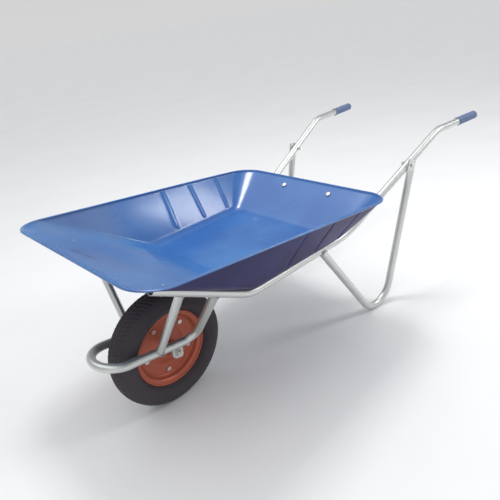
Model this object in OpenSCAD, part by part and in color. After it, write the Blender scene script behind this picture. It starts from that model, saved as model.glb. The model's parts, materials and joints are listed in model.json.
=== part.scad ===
// Single-wheel tipping barrow: a pressed sheet tray on a bent-tube frame with a pneumatic wheel.
// Millimetres. +X runs back towards the handles, +Y to the user's right-hand side, +Z up.
// Origin: on the floor under the middle of the bounding box. The XZ plane is the symmetry plane.

/* [Wheel] */
// outside diameter of the tyre
wheel_d = 360; // [320:1:400]
// width of the tyre across its sidewalls
tyre_w = 92; // [80:1:98]
// diameter over the rim flanges
rim_flange_d = 234; // [224:1:244]
// width over the rim flanges
rim_w = 52; // [44:1:60]
// sheet thickness of the rim halves
rim_sheet = 2.5; // [1.5:0.1:3.5]
// number of bolts joining the rim halves
rim_bolt_count = 5; // [3:1:8]
// distance of the rim bolts inside the bead seat
rim_bolt_inset = 25; // [20:1:35]
// outside diameter of the hub barrel
hub_d = 42; // [38:1:50]
// length of the hub barrel
hub_len = 80; // [70:1:86]
// diameter of the fixed axle
axle_d = 12; // [10:0.5:14]
// number of lugs round the tread
tread_count = 40; // [24:1:60]

/* [Tray] */
// length over the rim, measured along the rim
tray_len = 905; // [820:1:980]
// width over the rim centreline
tray_w = 640; // [600:1:700]
// height of the rim's front edge above the flat bottom's front edge
rim_rise = 204; // [180:1:230]
// forward rise of the rim plane in degrees
rim_tilt = 7.2; // [4:0.1:9]
// distance of the rim's front edge ahead of the axle
rim_front_x = 202; // [180:1:215]
// level run of the rear wall
rear_wall_run = 154.9; // [110:0.1:200]
// width of the flat bottom
floor_w = 464; // [440:1:500]
// distance of the flat bottom's front edge behind the axle
floor_front_x = 163; // [140:1:190]
// height of the underside at the flat bottom's front edge above the axle
floor_rise = 184; // [170:1:195]
// fall of the flat bottom towards the handles in degrees
floor_tilt = 1.3; // [0:0.1:3]
// tray sheet thickness
tray_sheet = 1.2; // [1:0.1:2.5]
// diameter of the rolled rim
rim_bead_d = 9; // [7:0.5:12]
// corner radius of the rim
rim_corner_r = 82; // [50:1:110]
// corner radius of the flat bottom
floor_corner_r = 24; // [20:1:60]
// pressed grooves in each side wall
groove_count = 3; // [1:1:4]
// depth of a pressed groove
groove_depth = 3; // [1:0.5:5]

/* [Frame tubes] */
// outside diameter of the frame tubes
tube_d = 25; // [22:0.5:28]
// wall thickness of the frame tubes
tube_wall = 1.5; // [1.2:0.1:2.5]
// outside diameter of the stay tubes
stay_d = 22; // [18:0.5:24]
// half distance between the handle ends
handle_half_w = 284; // [260:1:310]
// half distance between the main tubes under the tray
rail_half_w = 215; // [200:1:222]
// distance of the handle ends behind the axle
handle_x = 1343; // [1250:1:1420]
// height of the handle ends
handle_z = 557; // [520:1:600]
// length of the level end of the handles
handle_run = 260; // [210:1:320]
// height of the handle bend
handle_bend_z = 561; // [530:1:600]
// distance of the lower rear bend behind the flat bottom's rear edge
rear_bend_run = 58; // [35:1:85]
// length of the main tube in front of its lower front bend
front_run = 325; // [290:1:370]

/* [Legs] */
// distance of the leg's upper joint ahead of the handle bend
leg_top_lead = 169; // [130:1:220]
// distance of the foot behind the lower rear bend
leg_foot_run = 135; // [80:1:180]
// half distance between the feet
leg_foot_half_w = 237; // [225:1:260]
// distance of the leg's front joint ahead of the lower rear bend
leg_front_lead = 131; // [100:1:180]
// centreline radius of the foot bend
leg_bend_r = 77; // [60:1:90]

/* [Wheel guard and stays] */
// clearance between the tyre's side and the wheel guard
guard_side_gap = 8.5; // [5:0.5:15]
// clearance between the tread and the guard's front bend
guard_front_gap = 23.5; // [15:0.5:45]
// height of the guard's centreline above the axle
guard_rise = 37; // [32:1:45]
// rise of the guard towards its front in degrees
guard_tilt = 10.4; // [6:0.1:13]
// distance of the guard's rear bend behind the axle
guard_rear_x = 58; // [45:1:75]
// distance of the guard's upper ends behind the axle
guard_top_x = 49; // [35:1:65]
// distance ahead of the axle where the stays meet the guard
stay_low_x = 63; // [50:1:80]
// distance ahead of the axle where the stays meet the main tubes
stay_top_x = 49; // [35:1:65]

/* [Grips] */
// length of a grip
grip_len = 125; // [100:1:150]
// wall thickness of a grip
grip_wall = 2.5; // [2:0.5:6]

/* [Hidden] */
$fn = 64;
round_fn = 96;
corner_steps = 8;
eps = 0.01;
contact_gap = 0.2;
seam_gap = 0.1;
seam_len = 0.6;
seam_t = 0.05;

// wheel
wheel_r = wheel_d / 2;
flange_r = rim_flange_d / 2;
side_h = wheel_r - flange_r;
bead_seat_r = flange_r - 15;
rim_bolt_r = bead_seat_r - rim_bolt_inset;
flange_lip_r = 3;
lip_ring_r = flange_r - flange_lip_r;
flange_y = rim_w / 2 - 2 * flange_lip_r;
bead_gap = 0.2;
tyre_wall = 7;
tread_t = 12;
tube_t = 3;
tube_in_r = bead_seat_r + 2;
disc_flat_r = rim_bolt_r - 21;
disc_dish = 12;
rim_bolt_d = 8;
bearing_d = axle_d + 20;
bearing_w = 10;
bearing_seat = 1;
bearing_shoulder = 2;
bearing_running_gap = 0.3;
ball_count = 7;
lug_depth = 2;
lug_share = 0.6;
valve_d = 7;
valve_len = 34;
valve_angle = 64;
valve_y = 7;
valve_cap_d = 8.6;
valve_cap_len = 12;
valve_cap_grip = 8;

// axle group, going outwards from the hub
guard_half_w = tyre_w / 2 + guard_side_gap + tube_d / 2;
bracket_t = 5;
bracket_w = 3 * axle_d;
bracket_in_y = guard_half_w - tube_d / 2 + 0.6 - bracket_t;
washer_t = 2.5;
washer_d = 2 * axle_d;
nut_h = 10;
nut_af = 1.5 * axle_d;
axle_proud = 3;
spacer_wall = 2;

// fasteners
bolt_d = 8;
bolt_head_d = 17;
bolt_head_h = 4.5;
bolt_nut_af = 13;
bolt_nut_h = 6.5;
bolt_washer_d = 18;
bolt_washer_t = 1.6;
bolt_tail = 3;
hole_gap = 0.5;

// rim and floor planes of the tray
floor_front_z = wheel_r + floor_rise;
rim_front_z = floor_front_z + rim_rise;
rim_run = tray_len * cos(rim_tilt);
rim_rear_x = rim_run - rim_front_x;
rim_rear_z = rim_front_z - tray_len * sin(rim_tilt);
floor_rear_x = rim_rear_x - rear_wall_run;
floor_len = floor_rear_x - floor_front_x;
floor_rear_z = floor_front_z - floor_len * tan(floor_tilt);
fold_inset = 18;
fold_share = 0.13;
groove_w = 19;
groove_top_first = tray_len - 405;
groove_top_pitch = 117;
groove_low_first = floor_corner_r + 88;
groove_low_last = floor_len - floor_corner_r - groove_w / 2 - 2;
groove_low_pitch = (groove_low_last - groove_low_first) / max(groove_count - 1, 1);

// main tube: centreline points found from the tray planes it carries
tube_r = tube_d / 2;
tube_gap = tube_r + contact_gap;
slope_angle = atan2(rim_rise, floor_front_x + rim_front_x);
handle_bend_x = handle_x - handle_run;
rear_bend_x = floor_rear_x + rear_bend_run;
fold_turn = slope_angle + floor_tilt;
rail_front = [floor_front_x - tube_gap * sin(floor_tilt + fold_turn / 2) / cos(fold_turn / 2),
              rail_half_w,
              floor_front_z - tube_gap * cos(floor_tilt - fold_turn / 2) / cos(fold_turn / 2)];
rail_rear = [rear_bend_x, rail_half_w, rail_front[2] - (rear_bend_x - rail_front[0]) * tan(floor_tilt)];
rail_tip = rail_front + front_run * [-cos(slope_angle), 0, sin(slope_angle)];
handle_bend_y = handle_half_w - 18;
rear_bend_lap = 5.9;
rear_turn = floor_tilt + atan2(handle_bend_z - rail_rear[2], handle_bend_x - rear_bend_x);
rear_bend_r = (rear_bend_run + rear_bend_lap) / tan(rear_turn / 2);
main_path = [[handle_x, handle_half_w, handle_z], [handle_bend_x, handle_bend_y, handle_bend_z],
             rail_rear, rail_front, rail_tip];
main_bends = [90, rear_bend_r, 140];

// height and half width of the sloping part of the main tube, by distance behind the axle
function handle_at(x) = rail_rear + (x - rail_rear[0]) / (handle_bend_x - rail_rear[0])
                        * (main_path[1] - rail_rear);
function rail_at(x) = rail_rear + (x - rail_rear[0]) / (rail_front[0] - rail_rear[0]) * (rail_front - rail_rear);
function slope_at(x) = rail_front + (x - rail_front[0]) / (rail_tip[0] - rail_front[0]) * (rail_tip - rail_front);

// leg: a V bent from one tube, lying in the plane of its two joints and its foot
flat_t = 2 * tube_wall + 1.6;
flat_w = 38;
flat_len = 62;
flat_blend = 42;
flat_gap = 0.2;
flat_skin = 0.1;
flat_lap = 2;
leg_top_x = handle_bend_x - leg_top_lead;
leg_foot_x = rear_bend_x + leg_foot_run;
leg_front_x = rear_bend_x - leg_front_lead;
leg_top = handle_at(leg_top_x) + [0, tube_r + flat_t / 2 + flat_gap, 0];
leg_front = rail_at(leg_front_x) + [0, 2, -6];
leg_foot = [leg_foot_x, leg_foot_half_w, tube_r];
leg_normal = unit(cross(leg_front - leg_top, leg_foot - leg_top));
leg_u = unit(cross(leg_normal, [0, 0, 1])) * sign(cross(leg_normal, [0, 0, 1])[0]);
leg_w = unit(cross(leg_u, leg_normal)) * sign(cross(leg_u, leg_normal)[2]);
leg_centre = leg_foot + leg_bend_r * leg_w;
leg_rear_angle = tangent_angle(leg_top, -1);
leg_front_angle = tangent_angle(leg_front, 1);
leg_mid_angle = (leg_rear_angle + leg_front_angle) / 2;
leg_corner = leg_centre + leg_bend_r / cos((leg_rear_angle - leg_front_angle) / 2)
             * (cos(leg_mid_angle) * leg_u + sin(leg_mid_angle) * leg_w);
leg_dir = unit(leg_corner - leg_top);

// angle, in the leg's plane, of the foot bend's contact with a straight to point p
function tangent_angle(p, turn) =
    let (du = (p - leg_centre) * leg_u, dw = (p - leg_centre) * leg_w)
    atan2(dw, du) + turn * acos(leg_bend_r / norm([du, dw])) - (turn > 0 ? 360 : 0);

// wheel guard and stays
guard_axle_z = wheel_r + guard_rise;
guard_front_x = wheel_r + guard_front_gap + tube_r;
guard_r = guard_half_w - 1;
guard_bend_r = 42;
function guard_at(x) = [x, guard_half_w, guard_axle_z - x * tan(guard_tilt)];
guard_top = slope_at(guard_top_x) + [0, -2, -2];
guard_rear = guard_at(guard_rear_x);
guard_front = guard_at(-guard_front_x);
guard_path = [guard_top, guard_rear, guard_front, flip(guard_front), flip(guard_rear), flip(guard_top)];
guard_bends = [guard_bend_r, guard_r, guard_r, guard_bend_r];
stay_low = guard_at(-stay_low_x) + [0, 6, 4];
stay_top = slope_at(-stay_top_x) + [0, -3, -4];

// rear wall and the strap behind it
wall_angle = atan2(rim_rear_z - floor_rear_z, rim_rear_x - floor_rear_x);
wall_share = 0.8;
strap_t = 4;
strap_w = 32;
strap_flat = 128;
strap_end = tube_r;
strap_bolt_y = 98;
wall_point = [floor_rear_x + wall_share * (rim_rear_x - floor_rear_x), 0,
              floor_rear_z + wall_share * (rim_rear_z - floor_rear_z)];
handle_slope = atan2(handle_bend_z - rail_rear[2], handle_bend_x - rail_rear[0]);
handle_drop = (wall_point[2] - handle_at(wall_point[0])[2]) * cos(handle_slope)
              / cos(wall_angle - handle_slope);
strap_y = handle_at(wall_point[0])[1];
strap_drop = handle_drop - tube_r / cos(wall_angle - handle_slope) - strap_t + 0.4;

// front cross tube
cross_x = -95;
cross_d = tube_d;

// grips
grip_d = tube_d + 2 * grip_wall;
grip_dir = unit(main_path[0] - main_path[1]);
grip_collar = 3;
grip_lip = 0.5;
grip_tip = 1.5;
handle_start = grip_d / 2 - sqrt(pow(grip_d / 2, 2) - pow(tube_r, 2)) + grip_tip;

centre_x = (handle_x - guard_front_x - tube_r) / 2;

// the node to draw

// ---------- small helpers ----------
function unit(v) = v / norm(v);
function flip(v) = [v[0], -v[1], v[2]];
function lerp(a, b, t) = a + t * (b - a);

// directions and bends of a centreline given by its corner points
function run_dir(p, i) = unit(p[i + 1] - p[i]);
function run_turn(p, i) = acos(run_dir(p, i) * run_dir(p, i + 1));
function run_side(p, i) =
    let (a = run_dir(p, i), b = run_dir(p, i + 1))
    unit(b - (b * a) * a);
function run_cut(p, r, i) = i <= 0 || i >= len(p) - 1 ? 0 : r[i - 1] * tan(run_turn(p, i - 1) / 2);
function run_len(p, r, i) = norm(p[i + 1] - p[i]) - run_cut(p, r, i) - run_cut(p, r, i + 1);
function run_roll(p, i) =
    let (a = run_dir(p, i - 1), s = run_side(p, i - 1), t = run_turn(p, i - 1), n = run_side(p, i))
    atan2(n * cross(a, s), n * (cos(t) * s - sin(t) * a));

// moves its children so that +Z follows z and +X follows x at point p
module at_frame(p, x, z) {
    y = cross(z, x);
    multmatrix([[x[0], y[0], z[0], p[0]], [x[1], y[1], z[1], p[1]], [x[2], y[2], z[2], p[2]]])
        children();
}

// hair-thin band over the seam between a straight and a bend, which makes them one tube
module seam(outer, inner) {
    translate([0, 0, -seam_len / 2])
        difference() {
            cylinder(r = outer + seam_t, h = seam_len);
            if (inner > 0)
                translate([0, 0, -1])
                    cylinder(r = inner - seam_t, h = seam_len + 2);
        }
}

// one straight and one bend after another, each placed in the frame of the one before
module pipe_step(p, r, outer, inner, i) {
    length = run_len(p, r, i);
    more = i < len(p) - 2;
    start = i > 0 ? seam_gap : 0;
    end = length - (more ? seam_gap : 0);
    translate([0, 0, start])
        difference() {
            cylinder(r = outer, h = end - start);
            if (inner > 0)
                translate([0, 0, -1])
                    cylinder(r = inner, h = end - start + 2);
        }
    if (i > 0)
        seam(outer, inner);
    if (more) {
        turn = run_turn(p, i);
        bend = r[i];
        translate([0, 0, length]) {
            seam(outer, inner);
            translate([bend, 0, 0]) {
                rotate([90, 0, 180])
                    rotate_extrude(angle = turn)
                        translate([bend, 0])
                            difference() {
                                circle(r = outer);
                                if (inner > 0)
                                    circle(r = inner);
                            }
                rotate([0, turn, 0])
                    translate([-bend, 0, 0])
                        rotate([0, 0, i + 1 < len(p) - 2 ? run_roll(p, i + 1) : 0])
                            pipe_step(p, r, outer, inner, i + 1);
            }
        }
    }
}

// bent tube along the corner points p with bend radii r; inner = 0 leaves it solid
module pipe(p, r, outer, inner = 0) {
    at_frame(p[0], run_side(p, 0), run_dir(p, 0))
        pipe_step(p, r, outer, inner, 0);
}

// straight tube between two points
module straight(a, b, outer, inner = 0) {
    z = unit(b - a);
    x = unit(cross(abs(z[1]) > 0.9 ? [1, 0, 0] : [0, 1, 0], z));
    at_frame(a, x, z)
        difference() {
            cylinder(r = outer, h = norm(b - a));
            if (inner > 0)
                translate([0, 0, -1])
                    cylinder(r = inner, h = norm(b - a) + 2);
        }
}

// children on the right-hand side, or mirrored to the left
module on_side(side) {
    mirror([0, side < 0 ? 1 : 0, 0])
        children();
}

module both_sides() {
    for (side = [-1, 1])
        on_side(side)
            children();
}

// children with +Z along the wheel's axis, at the axle
module on_axle() {
    translate([0, 0, wheel_r])
        rotate([-90, 0, 0])
            children();
}

module ring(outer, inner, h) {
    difference() {
        cylinder(r = outer, h = h, $fn = round_fn);
        translate([0, 0, -1])
            cylinder(r = inner, h = h + 2, $fn = round_fn);
    }
}

module hex(af, h) {
    cylinder(d = af / cos(30), h = h, $fn = 6);
}

// whole object in the axle frame moved to the part's own origin
module placed() {
    translate([-centre_x, 0, 0])
        children();
}

// ---------- tray ----------
// one corner of an outline: arc about (x, y) with radius r from angle a
function corner(x, y, r, a) =
    [for (i = [0:corner_steps]) [x + r * cos(a + 90 * i / corner_steps), y + r * sin(a + 90 * i / corner_steps)]];

// groove points along a side, with their share of the groove depth
groove_profile = [[-0.5, 0], [-0.25, 0.75], [0, 1], [0.25, 0.75], [0.5, 0]];
function groove_x(first, pitch, back) =
    [for (i = [0:groove_count - 1]) for (g = groove_profile)
        let (k = back ? groove_count - 1 - i : i, s = back ? -1 : 1)
        first + pitch * k + s * g[0] * groove_w];
groove_share = [for (i = [0:groove_count - 1]) for (g = groove_profile) g[1]];

// outline of length l and width w starting at x = 0, with groove points on both sides
function outline(l, w, r, first, pitch) =
    let (h = w / 2)
    concat(corner(r, -h + r, r, 180),
           [for (x = groove_x(first, pitch, false)) [x, -h]],
           corner(l - r, -h + r, r, 270),
           corner(l - r, h - r, r, 0),
           [for (x = groove_x(first, pitch, true)) [x, h]],
           corner(r, h - r, r, 90));
corner_zero = [for (i = [0:corner_steps]) 0];
depth_share = concat(corner_zero, groove_share, corner_zero, corner_zero, groove_share, corner_zero);
corner_turn = [for (i = [0:corner_steps]) 90 * i / corner_steps];
outline_turn = concat([for (a = corner_turn) 180 + a], [for (g = groove_share) 270],
                      [for (a = corner_turn) 270 + a], corner_turn,
                      [for (g = groove_share) 90], [for (a = corner_turn) 90 + a]);

function rim_point(q) = [q[0] * cos(rim_tilt) - rim_front_x, q[1], rim_front_z - q[0] * sin(rim_tilt)];
function floor_point(q) = [q[0] + floor_front_x, q[1], floor_front_z - q[0] * tan(floor_tilt)];

rim_outline = outline(tray_len, tray_w, rim_corner_r, groove_top_first, groove_top_pitch);
floor_outline = outline(floor_len, floor_w, floor_corner_r, groove_low_first, groove_low_pitch);
inset_outline = [for (i = [0:len(floor_outline) - 1])
    floor_outline[i] - fold_inset * [cos(outline_turn[i]), sin(outline_turn[i])]];

// rows up the wall: the rounded fold, then the straight wall up to the rim
fold_rows = [0, 0.25, 0.5, 0.75, 1];
wall_rows = [[0.34, 1], [0.82, 1], [1, 0]];

function fold_point(i, b) =
    let (start = floor_point(inset_outline[i]), bend = floor_point(floor_outline[i]),
         end = lerp(bend, rim_point(rim_outline[i]), fold_share))
    lerp(lerp(start, bend, b), lerp(bend, end, b), b);
function wall_point_at(i, t, depth) =
    lerp(floor_point(floor_outline[i]), rim_point(rim_outline[i]), t)
    - depth * depth_share[i] * groove_depth * [cos(outline_turn[i]), sin(outline_turn[i]), 0];
outer_rows = concat([for (b = fold_rows) [for (i = [0:len(rim_outline) - 1]) fold_point(i, b)]],
                    [for (w = wall_rows) [for (i = [0:len(rim_outline) - 1]) wall_point_at(i, w[0], w[1])]]);
function inward(i) = tray_sheet * [-0.6 * cos(outline_turn[i]), -0.6 * sin(outline_turn[i]), 0.9];
inner_rows = [for (row = outer_rows) [for (i = [0:len(row) - 1]) row[i] + inward(i)]];

// triangles joining two neighbouring rows of n points, the first starting at point a, the next at b
function strip(a, b, n) =
    [for (i = [0:n - 1]) let (j = (i + 1) % n) each [[a + i, a + j, b + j], [a + i, b + j, b + i]]];

module tray_shell() {
    n = len(rim_outline);
    rows = len(outer_rows);
    middle = floor_point([floor_len / 2, 0]);
    points = concat([for (row = outer_rows) each row], [for (row = inner_rows) each row],
                    [middle, middle + [0, 0, 0.9 * tray_sheet]]);
    inner = rows * n;
    faces = concat([for (k = [0:rows - 2]) each strip((k + 1) * n, k * n, n)],
                   [for (k = [0:rows - 2]) each strip(inner + k * n, inner + (k + 1) * n, n)],
                   strip(inner + (rows - 1) * n, (rows - 1) * n, n),
                   [for (i = [0:n - 1]) [i, (i + 1) % n, 2 * inner]],
                   [for (i = [0:n - 1]) [inner + (i + 1) % n, inner + i, 2 * inner + 1]]);
    polyhedron(points, faces);
}

module rim_bead() {
    l = tray_len - 2 * rim_corner_r;
    w = tray_w - 2 * rim_corner_r;
    translate([-rim_front_x, 0, rim_front_z])
        rotate([0, rim_tilt, 0])
            translate([tray_len / 2, 0, 0])
                for (turn = [0, 180])
                    rotate([0, 0, turn]) {
                        translate([-l / 2, tray_w / 2, 0])
                            rotate([0, 90, 0])
                                cylinder(d = rim_bead_d, h = l);
                        translate([tray_len / 2, -w / 2, 0])
                            rotate([-90, 0, 0])
                                cylinder(d = rim_bead_d, h = w);
                        for (end = [1, -1])
                            translate([end * l / 2, w / 2, 0])
                                rotate([0, 0, end > 0 ? 0 : 90])
                                    rotate_extrude(angle = 90)
                                        translate([rim_corner_r, 0])
                                            circle(d = rim_bead_d);
                    }
}

// places children at a rear-wall bolt, +Z along the wall's inward normal, Z = 0 on the underside
module at_wall_bolt(y) {
    translate([wall_point[0], y, wall_point[2]])
        rotate([0, -wall_angle, 0])
            children();
}

module tray() {
    color("royalblue")
        placed()
            difference() {
                union() {
                    tray_shell();
                    rim_bead();
                }
                for (side = [-1, 1])
                    at_wall_bolt(side * strap_bolt_y)
                        translate([0, 0, -10])
                            cylinder(d = bolt_d + hole_gap, h = 20);
            }
}

// ---------- frame ----------
module main_tube(side) {
    color("silver")
        placed()
            on_side(side)
                difference() {
                    pipe(main_path, main_bends, tube_r, tube_r - tube_wall);
                    at_leg_bolt()
                        cylinder(d = bolt_d + hole_gap, h = 4 * tube_d, center = true);
                    at_frame(main_path[0], [0, 0, 1], -grip_dir)
                        translate([0, 0, -1])
                            cylinder(d = tube_d + 1, h = handle_start + 1);
                }
}

module main_tube_left() {
    main_tube(-1);
}

module main_tube_right() {
    main_tube(1);
}

module front_cross_tube() {
    seat = slope_at(cross_x);
    color("silver")
        placed()
            difference() {
                straight([seat[0], -seat[1], seat[2]], seat, cross_d / 2, cross_d / 2 - tube_wall);
                both_sides()
                    straight(rail_front, rail_tip + (rail_tip - rail_front), tube_r);
            }
}

// flat strap behind the rear wall: its middle lies on the sheet, its ends step down to the tubes
module rear_strap() {
    top = -contact_gap / 2;
    low = -strap_drop;
    slant = strap_y - strap_end;
    profile = [[-strap_y - strap_end, low], [-slant, low], [-strap_flat, top], [strap_flat, top],
               [slant, low], [strap_y + strap_end, low], [strap_y + strap_end, low - strap_t],
               [slant - strap_t / 2, low - strap_t], [strap_flat - strap_t / 2, top - strap_t],
               [-strap_flat + strap_t / 2, top - strap_t], [-slant + strap_t / 2, low - strap_t],
               [-strap_y - strap_end, low - strap_t]];
    color("silver")
        placed()
            difference() {
                at_wall_bolt(0)
                    rotate([90, 0, 90])
                        translate([0, 0, -strap_w / 2])
                            linear_extrude(strap_w)
                                polygon(profile);
                for (side = [-1, 1])
                    at_wall_bolt(side * strap_bolt_y)
                        translate([0, 0, -20])
                            cylinder(d = bolt_d + hole_gap, h = 40);
                both_sides()
                    straight(rail_rear, main_path[1], tube_r);
            }
}

// ---------- tray fasteners ----------
module tray_bolts() {
    tail = strap_t + contact_gap / 2 + bolt_washer_t + bolt_nut_h + bolt_tail;
    color("gainsboro")
        placed()
            for (side = [-1, 1])
                at_wall_bolt(side * strap_bolt_y) {
                    translate([0, 0, -tail])
                        cylinder(d = bolt_d, h = tail + tray_sheet + 1);
                    translate([0, 0, 1.2 * tray_sheet])
                        intersection() {
                            translate([0, 0, bolt_head_h - bolt_head_d])
                                sphere(d = 2 * bolt_head_d);
                            cylinder(d = bolt_head_d, h = bolt_head_h);
                        }
                }
}

module tray_washers() {
    color("gainsboro")
        placed()
            for (side = [-1, 1])
                at_wall_bolt(side * strap_bolt_y)
                    translate([0, 0, -contact_gap / 2 - strap_t - bolt_washer_t])
                        ring(bolt_washer_d / 2, bolt_d / 2 + hole_gap / 2, bolt_washer_t);
}

module tray_nuts() {
    color("gainsboro")
        placed()
            for (side = [-1, 1])
                at_wall_bolt(side * strap_bolt_y)
                    translate([0, 0, -contact_gap / 2 - strap_t - bolt_washer_t - bolt_nut_h])
                        difference() {
                            hex(bolt_nut_af, bolt_nut_h);
                            translate([0, 0, -1])
                                cylinder(d = bolt_d, h = bolt_nut_h + 2);
                        }
}

// ---------- legs ----------
module leg_flat() {
    at_frame(leg_top, unit(cross(leg_normal, leg_dir)), leg_dir) {
        translate([-flat_w / 2, -flat_t / 2, -flat_w / 2])
            cube([flat_w, flat_t, flat_len - flat_blend + flat_w / 2]);
        hull() {
            translate([flat_skin - flat_w / 2, flat_skin - flat_t / 2, flat_len - flat_blend - flat_lap])
                cube([flat_w - 2 * flat_skin, flat_t - 2 * flat_skin, eps]);
            translate([0, 0, flat_len + flat_lap])
                cylinder(r = tube_r - flat_skin, h = eps, $fn = 32);
        }
    }
}

module leg(side) {
    start = leg_top + flat_len * leg_dir;
    color("silver")
        placed()
            on_side(side)
                difference() {
                    union() {
                        pipe([start, leg_corner, leg_front], [leg_bend_r], tube_r, tube_r - tube_wall);
                        leg_flat();
                    }
                    straight(rail_rear, rail_front, tube_r);
                    straight(handle_at(leg_top_x - 2 * flat_w), handle_at(leg_top_x + 2 * flat_w), tube_r);
                    at_leg_bolt()
                        cylinder(d = bolt_d + hole_gap, h = 3 * flat_t, center = true);
                }
}

module leg_left() {
    leg(-1);
}

module leg_right() {
    leg(1);
}

// children at the middle of the leg's flattened end, +Z square to it and away from the handle tube
module at_leg_bolt() {
    at_frame(leg_top, leg_dir, -leg_normal)
        children();
}

nut_seat = flat_t / 2 + flat_gap + 2 * tube_r;

module leg_bolts() {
    color("gainsboro")
        placed()
            both_sides()
                at_leg_bolt() {
                    translate([0, 0, -nut_seat - bolt_nut_h - bolt_tail])
                        cylinder(d = bolt_d, h = nut_seat + bolt_nut_h + bolt_tail + flat_t / 2 + 1);
                    translate([0, 0, flat_t / 2])
                        hex(bolt_nut_af, bolt_head_h + 1);
                }
}

module leg_nuts() {
    color("gainsboro")
        placed()
            both_sides()
                at_leg_bolt()
                    translate([0, 0, -nut_seat - bolt_nut_h])
                        difference() {
                            hex(bolt_nut_af, bolt_nut_h);
                            translate([0, 0, -1])
                                cylinder(d = bolt_d, h = bolt_nut_h + 2);
                        }
}

// ---------- grips ----------
module grip(side) {
    outer = grip_d / 2;
    lip = outer + grip_lip;
    dome = [for (a = [0:7.5:90]) [outer * sin(a), outer * (1 - cos(a))]];
    rim = [[outer, grip_len - 2 * grip_collar], [lip, grip_len - grip_collar], [lip, grip_len],
           [0, grip_len]];
    color("steelblue")
        placed()
            on_side(side)
                at_frame(main_path[0], [0, 0, 1], -grip_dir)
                    difference() {
                        rotate_extrude($fn = round_fn)
                            polygon(concat(dome, rim));
                        translate([0, 0, handle_start])
                            cylinder(d = tube_d, h = grip_len, $fn = round_fn);
                    }
}

module grip_left() {
    grip(-1);
}

module grip_right() {
    grip(1);
}

// ---------- wheel guard, stays, axle brackets ----------
module wheel_guard() {
    color("silver")
        placed()
            difference() {
                pipe(guard_path, guard_bends, tube_r, tube_r - tube_wall);
                both_sides()
                    straight(rail_front, rail_tip, tube_r);
            }
}

module stay(side) {
    color("silver")
        placed()
            on_side(side)
                difference() {
                    straight(stay_low, stay_top, stay_d / 2, stay_d / 2 - tube_wall);
                    straight(rail_front, rail_tip, tube_r);
                    straight(guard_rear, guard_front, tube_r);
                }
}

module stay_left() {
    stay(-1);
}

module stay_right() {
    stay(1);
}

module axle_bracket(side) {
    top = guard_rise + 2;
    color("silver")
        placed()
            on_side(side)
                difference() {
                    translate([0, bracket_in_y, 0])
                        on_axle() {
                            difference() {
                                union() {
                                    cylinder(d = bracket_w, h = bracket_t);
                                    translate([-bracket_w / 2, -top, 0])
                                        cube([bracket_w, top, bracket_t]);
                                }
                                translate([0, 0, -1])
                                    cylinder(d = axle_d + hole_gap, h = bracket_t + 2);
                            }
                        }
                    straight(guard_rear, guard_front, tube_r);
                }
}

module axle_bracket_left() {
    axle_bracket(-1);
}

module axle_bracket_right() {
    axle_bracket(1);
}

// ---------- axle and bearings ----------
axle_half = bracket_in_y + bracket_t + washer_t + nut_h + axle_proud;

module axle() {
    color("gainsboro")
        placed()
            on_axle()
                cylinder(d = axle_d, h = 2 * axle_half, center = true);
}

module axle_spacers() {
    bearing_out = hub_len / 2 - bearing_seat;
    color("gainsboro")
        placed()
            both_sides()
                translate([0, bearing_out, 0])
                    on_axle()
                        ring(axle_d / 2 + spacer_wall, axle_d / 2, bracket_in_y - bearing_out);
}

module axle_washers() {
    color("gainsboro")
        placed()
            both_sides()
                translate([0, bracket_in_y + bracket_t, 0])
                    on_axle()
                        ring(washer_d / 2, axle_d / 2, washer_t);
}

module axle_nuts() {
    color("gainsboro")
        placed()
            both_sides()
                translate([0, bracket_in_y + bracket_t + washer_t, 0])
                    on_axle()
                        difference() {
                            hex(nut_af, nut_h);
                            translate([0, 0, -1])
                                cylinder(d = axle_d, h = nut_h + 2);
                        }
}

// a bearing seat: children at the inner end of the bearing, +Z outwards
module at_bearing() {
    both_sides()
        translate([0, hub_len / 2 - bearing_seat - bearing_w, 0])
            on_axle()
                children();
}

ball_pitch_r = (axle_d / 2 + bearing_d / 2) / 2;
ball_r = 2.8;

module bearing_inner_rings() {
    color("gainsboro")
        placed()
            at_bearing()
                ring(ball_pitch_r - ball_r - bearing_running_gap, axle_d / 2, bearing_w);
}

module bearing_outer_rings() {
    color("gainsboro")
        placed()
            at_bearing()
                ring(bearing_d / 2, ball_pitch_r + ball_r, bearing_w);
}

module bearing_balls() {
    color("gainsboro")
        placed()
            at_bearing()
                translate([0, 0, bearing_w / 2])
                    for (i = [0:ball_count - 1])
                        rotate([0, 0, 360 * i / ball_count])
                            translate([ball_pitch_r, 0, 0])
                                sphere(r = ball_r, $fn = 32);
}

// ---------- wheel ----------
module hub() {
    color("firebrick")
        placed()
            on_axle()
                difference() {
                    cylinder(d = hub_d, h = hub_len, center = true, $fn = round_fn);
                    cylinder(r = bearing_d / 2 - bearing_shoulder, h = hub_len + 2, center = true);
                    for (turn = [0, 180])
                        rotate([turn, 0, 0])
                            translate([0, 0, hub_len / 2 - bearing_seat - bearing_w])
                                cylinder(d = bearing_d, h = bearing_w + bearing_seat + 1, $fn = round_fn);
                }
}

// outside of a rim half as radius and distance from the middle plane, hub to flange
rim_line = [[hub_d / 2, disc_dish], [hub_d / 2 + 9, disc_dish], [disc_flat_r, 0], [bead_seat_r - 9, 0],
            [bead_seat_r - 4, 4], [bead_seat_r - 1.5, 9], [bead_seat_r, flange_y - 4],
            [bead_seat_r + 3, flange_y - 1], [lip_ring_r, flange_y]];

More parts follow.
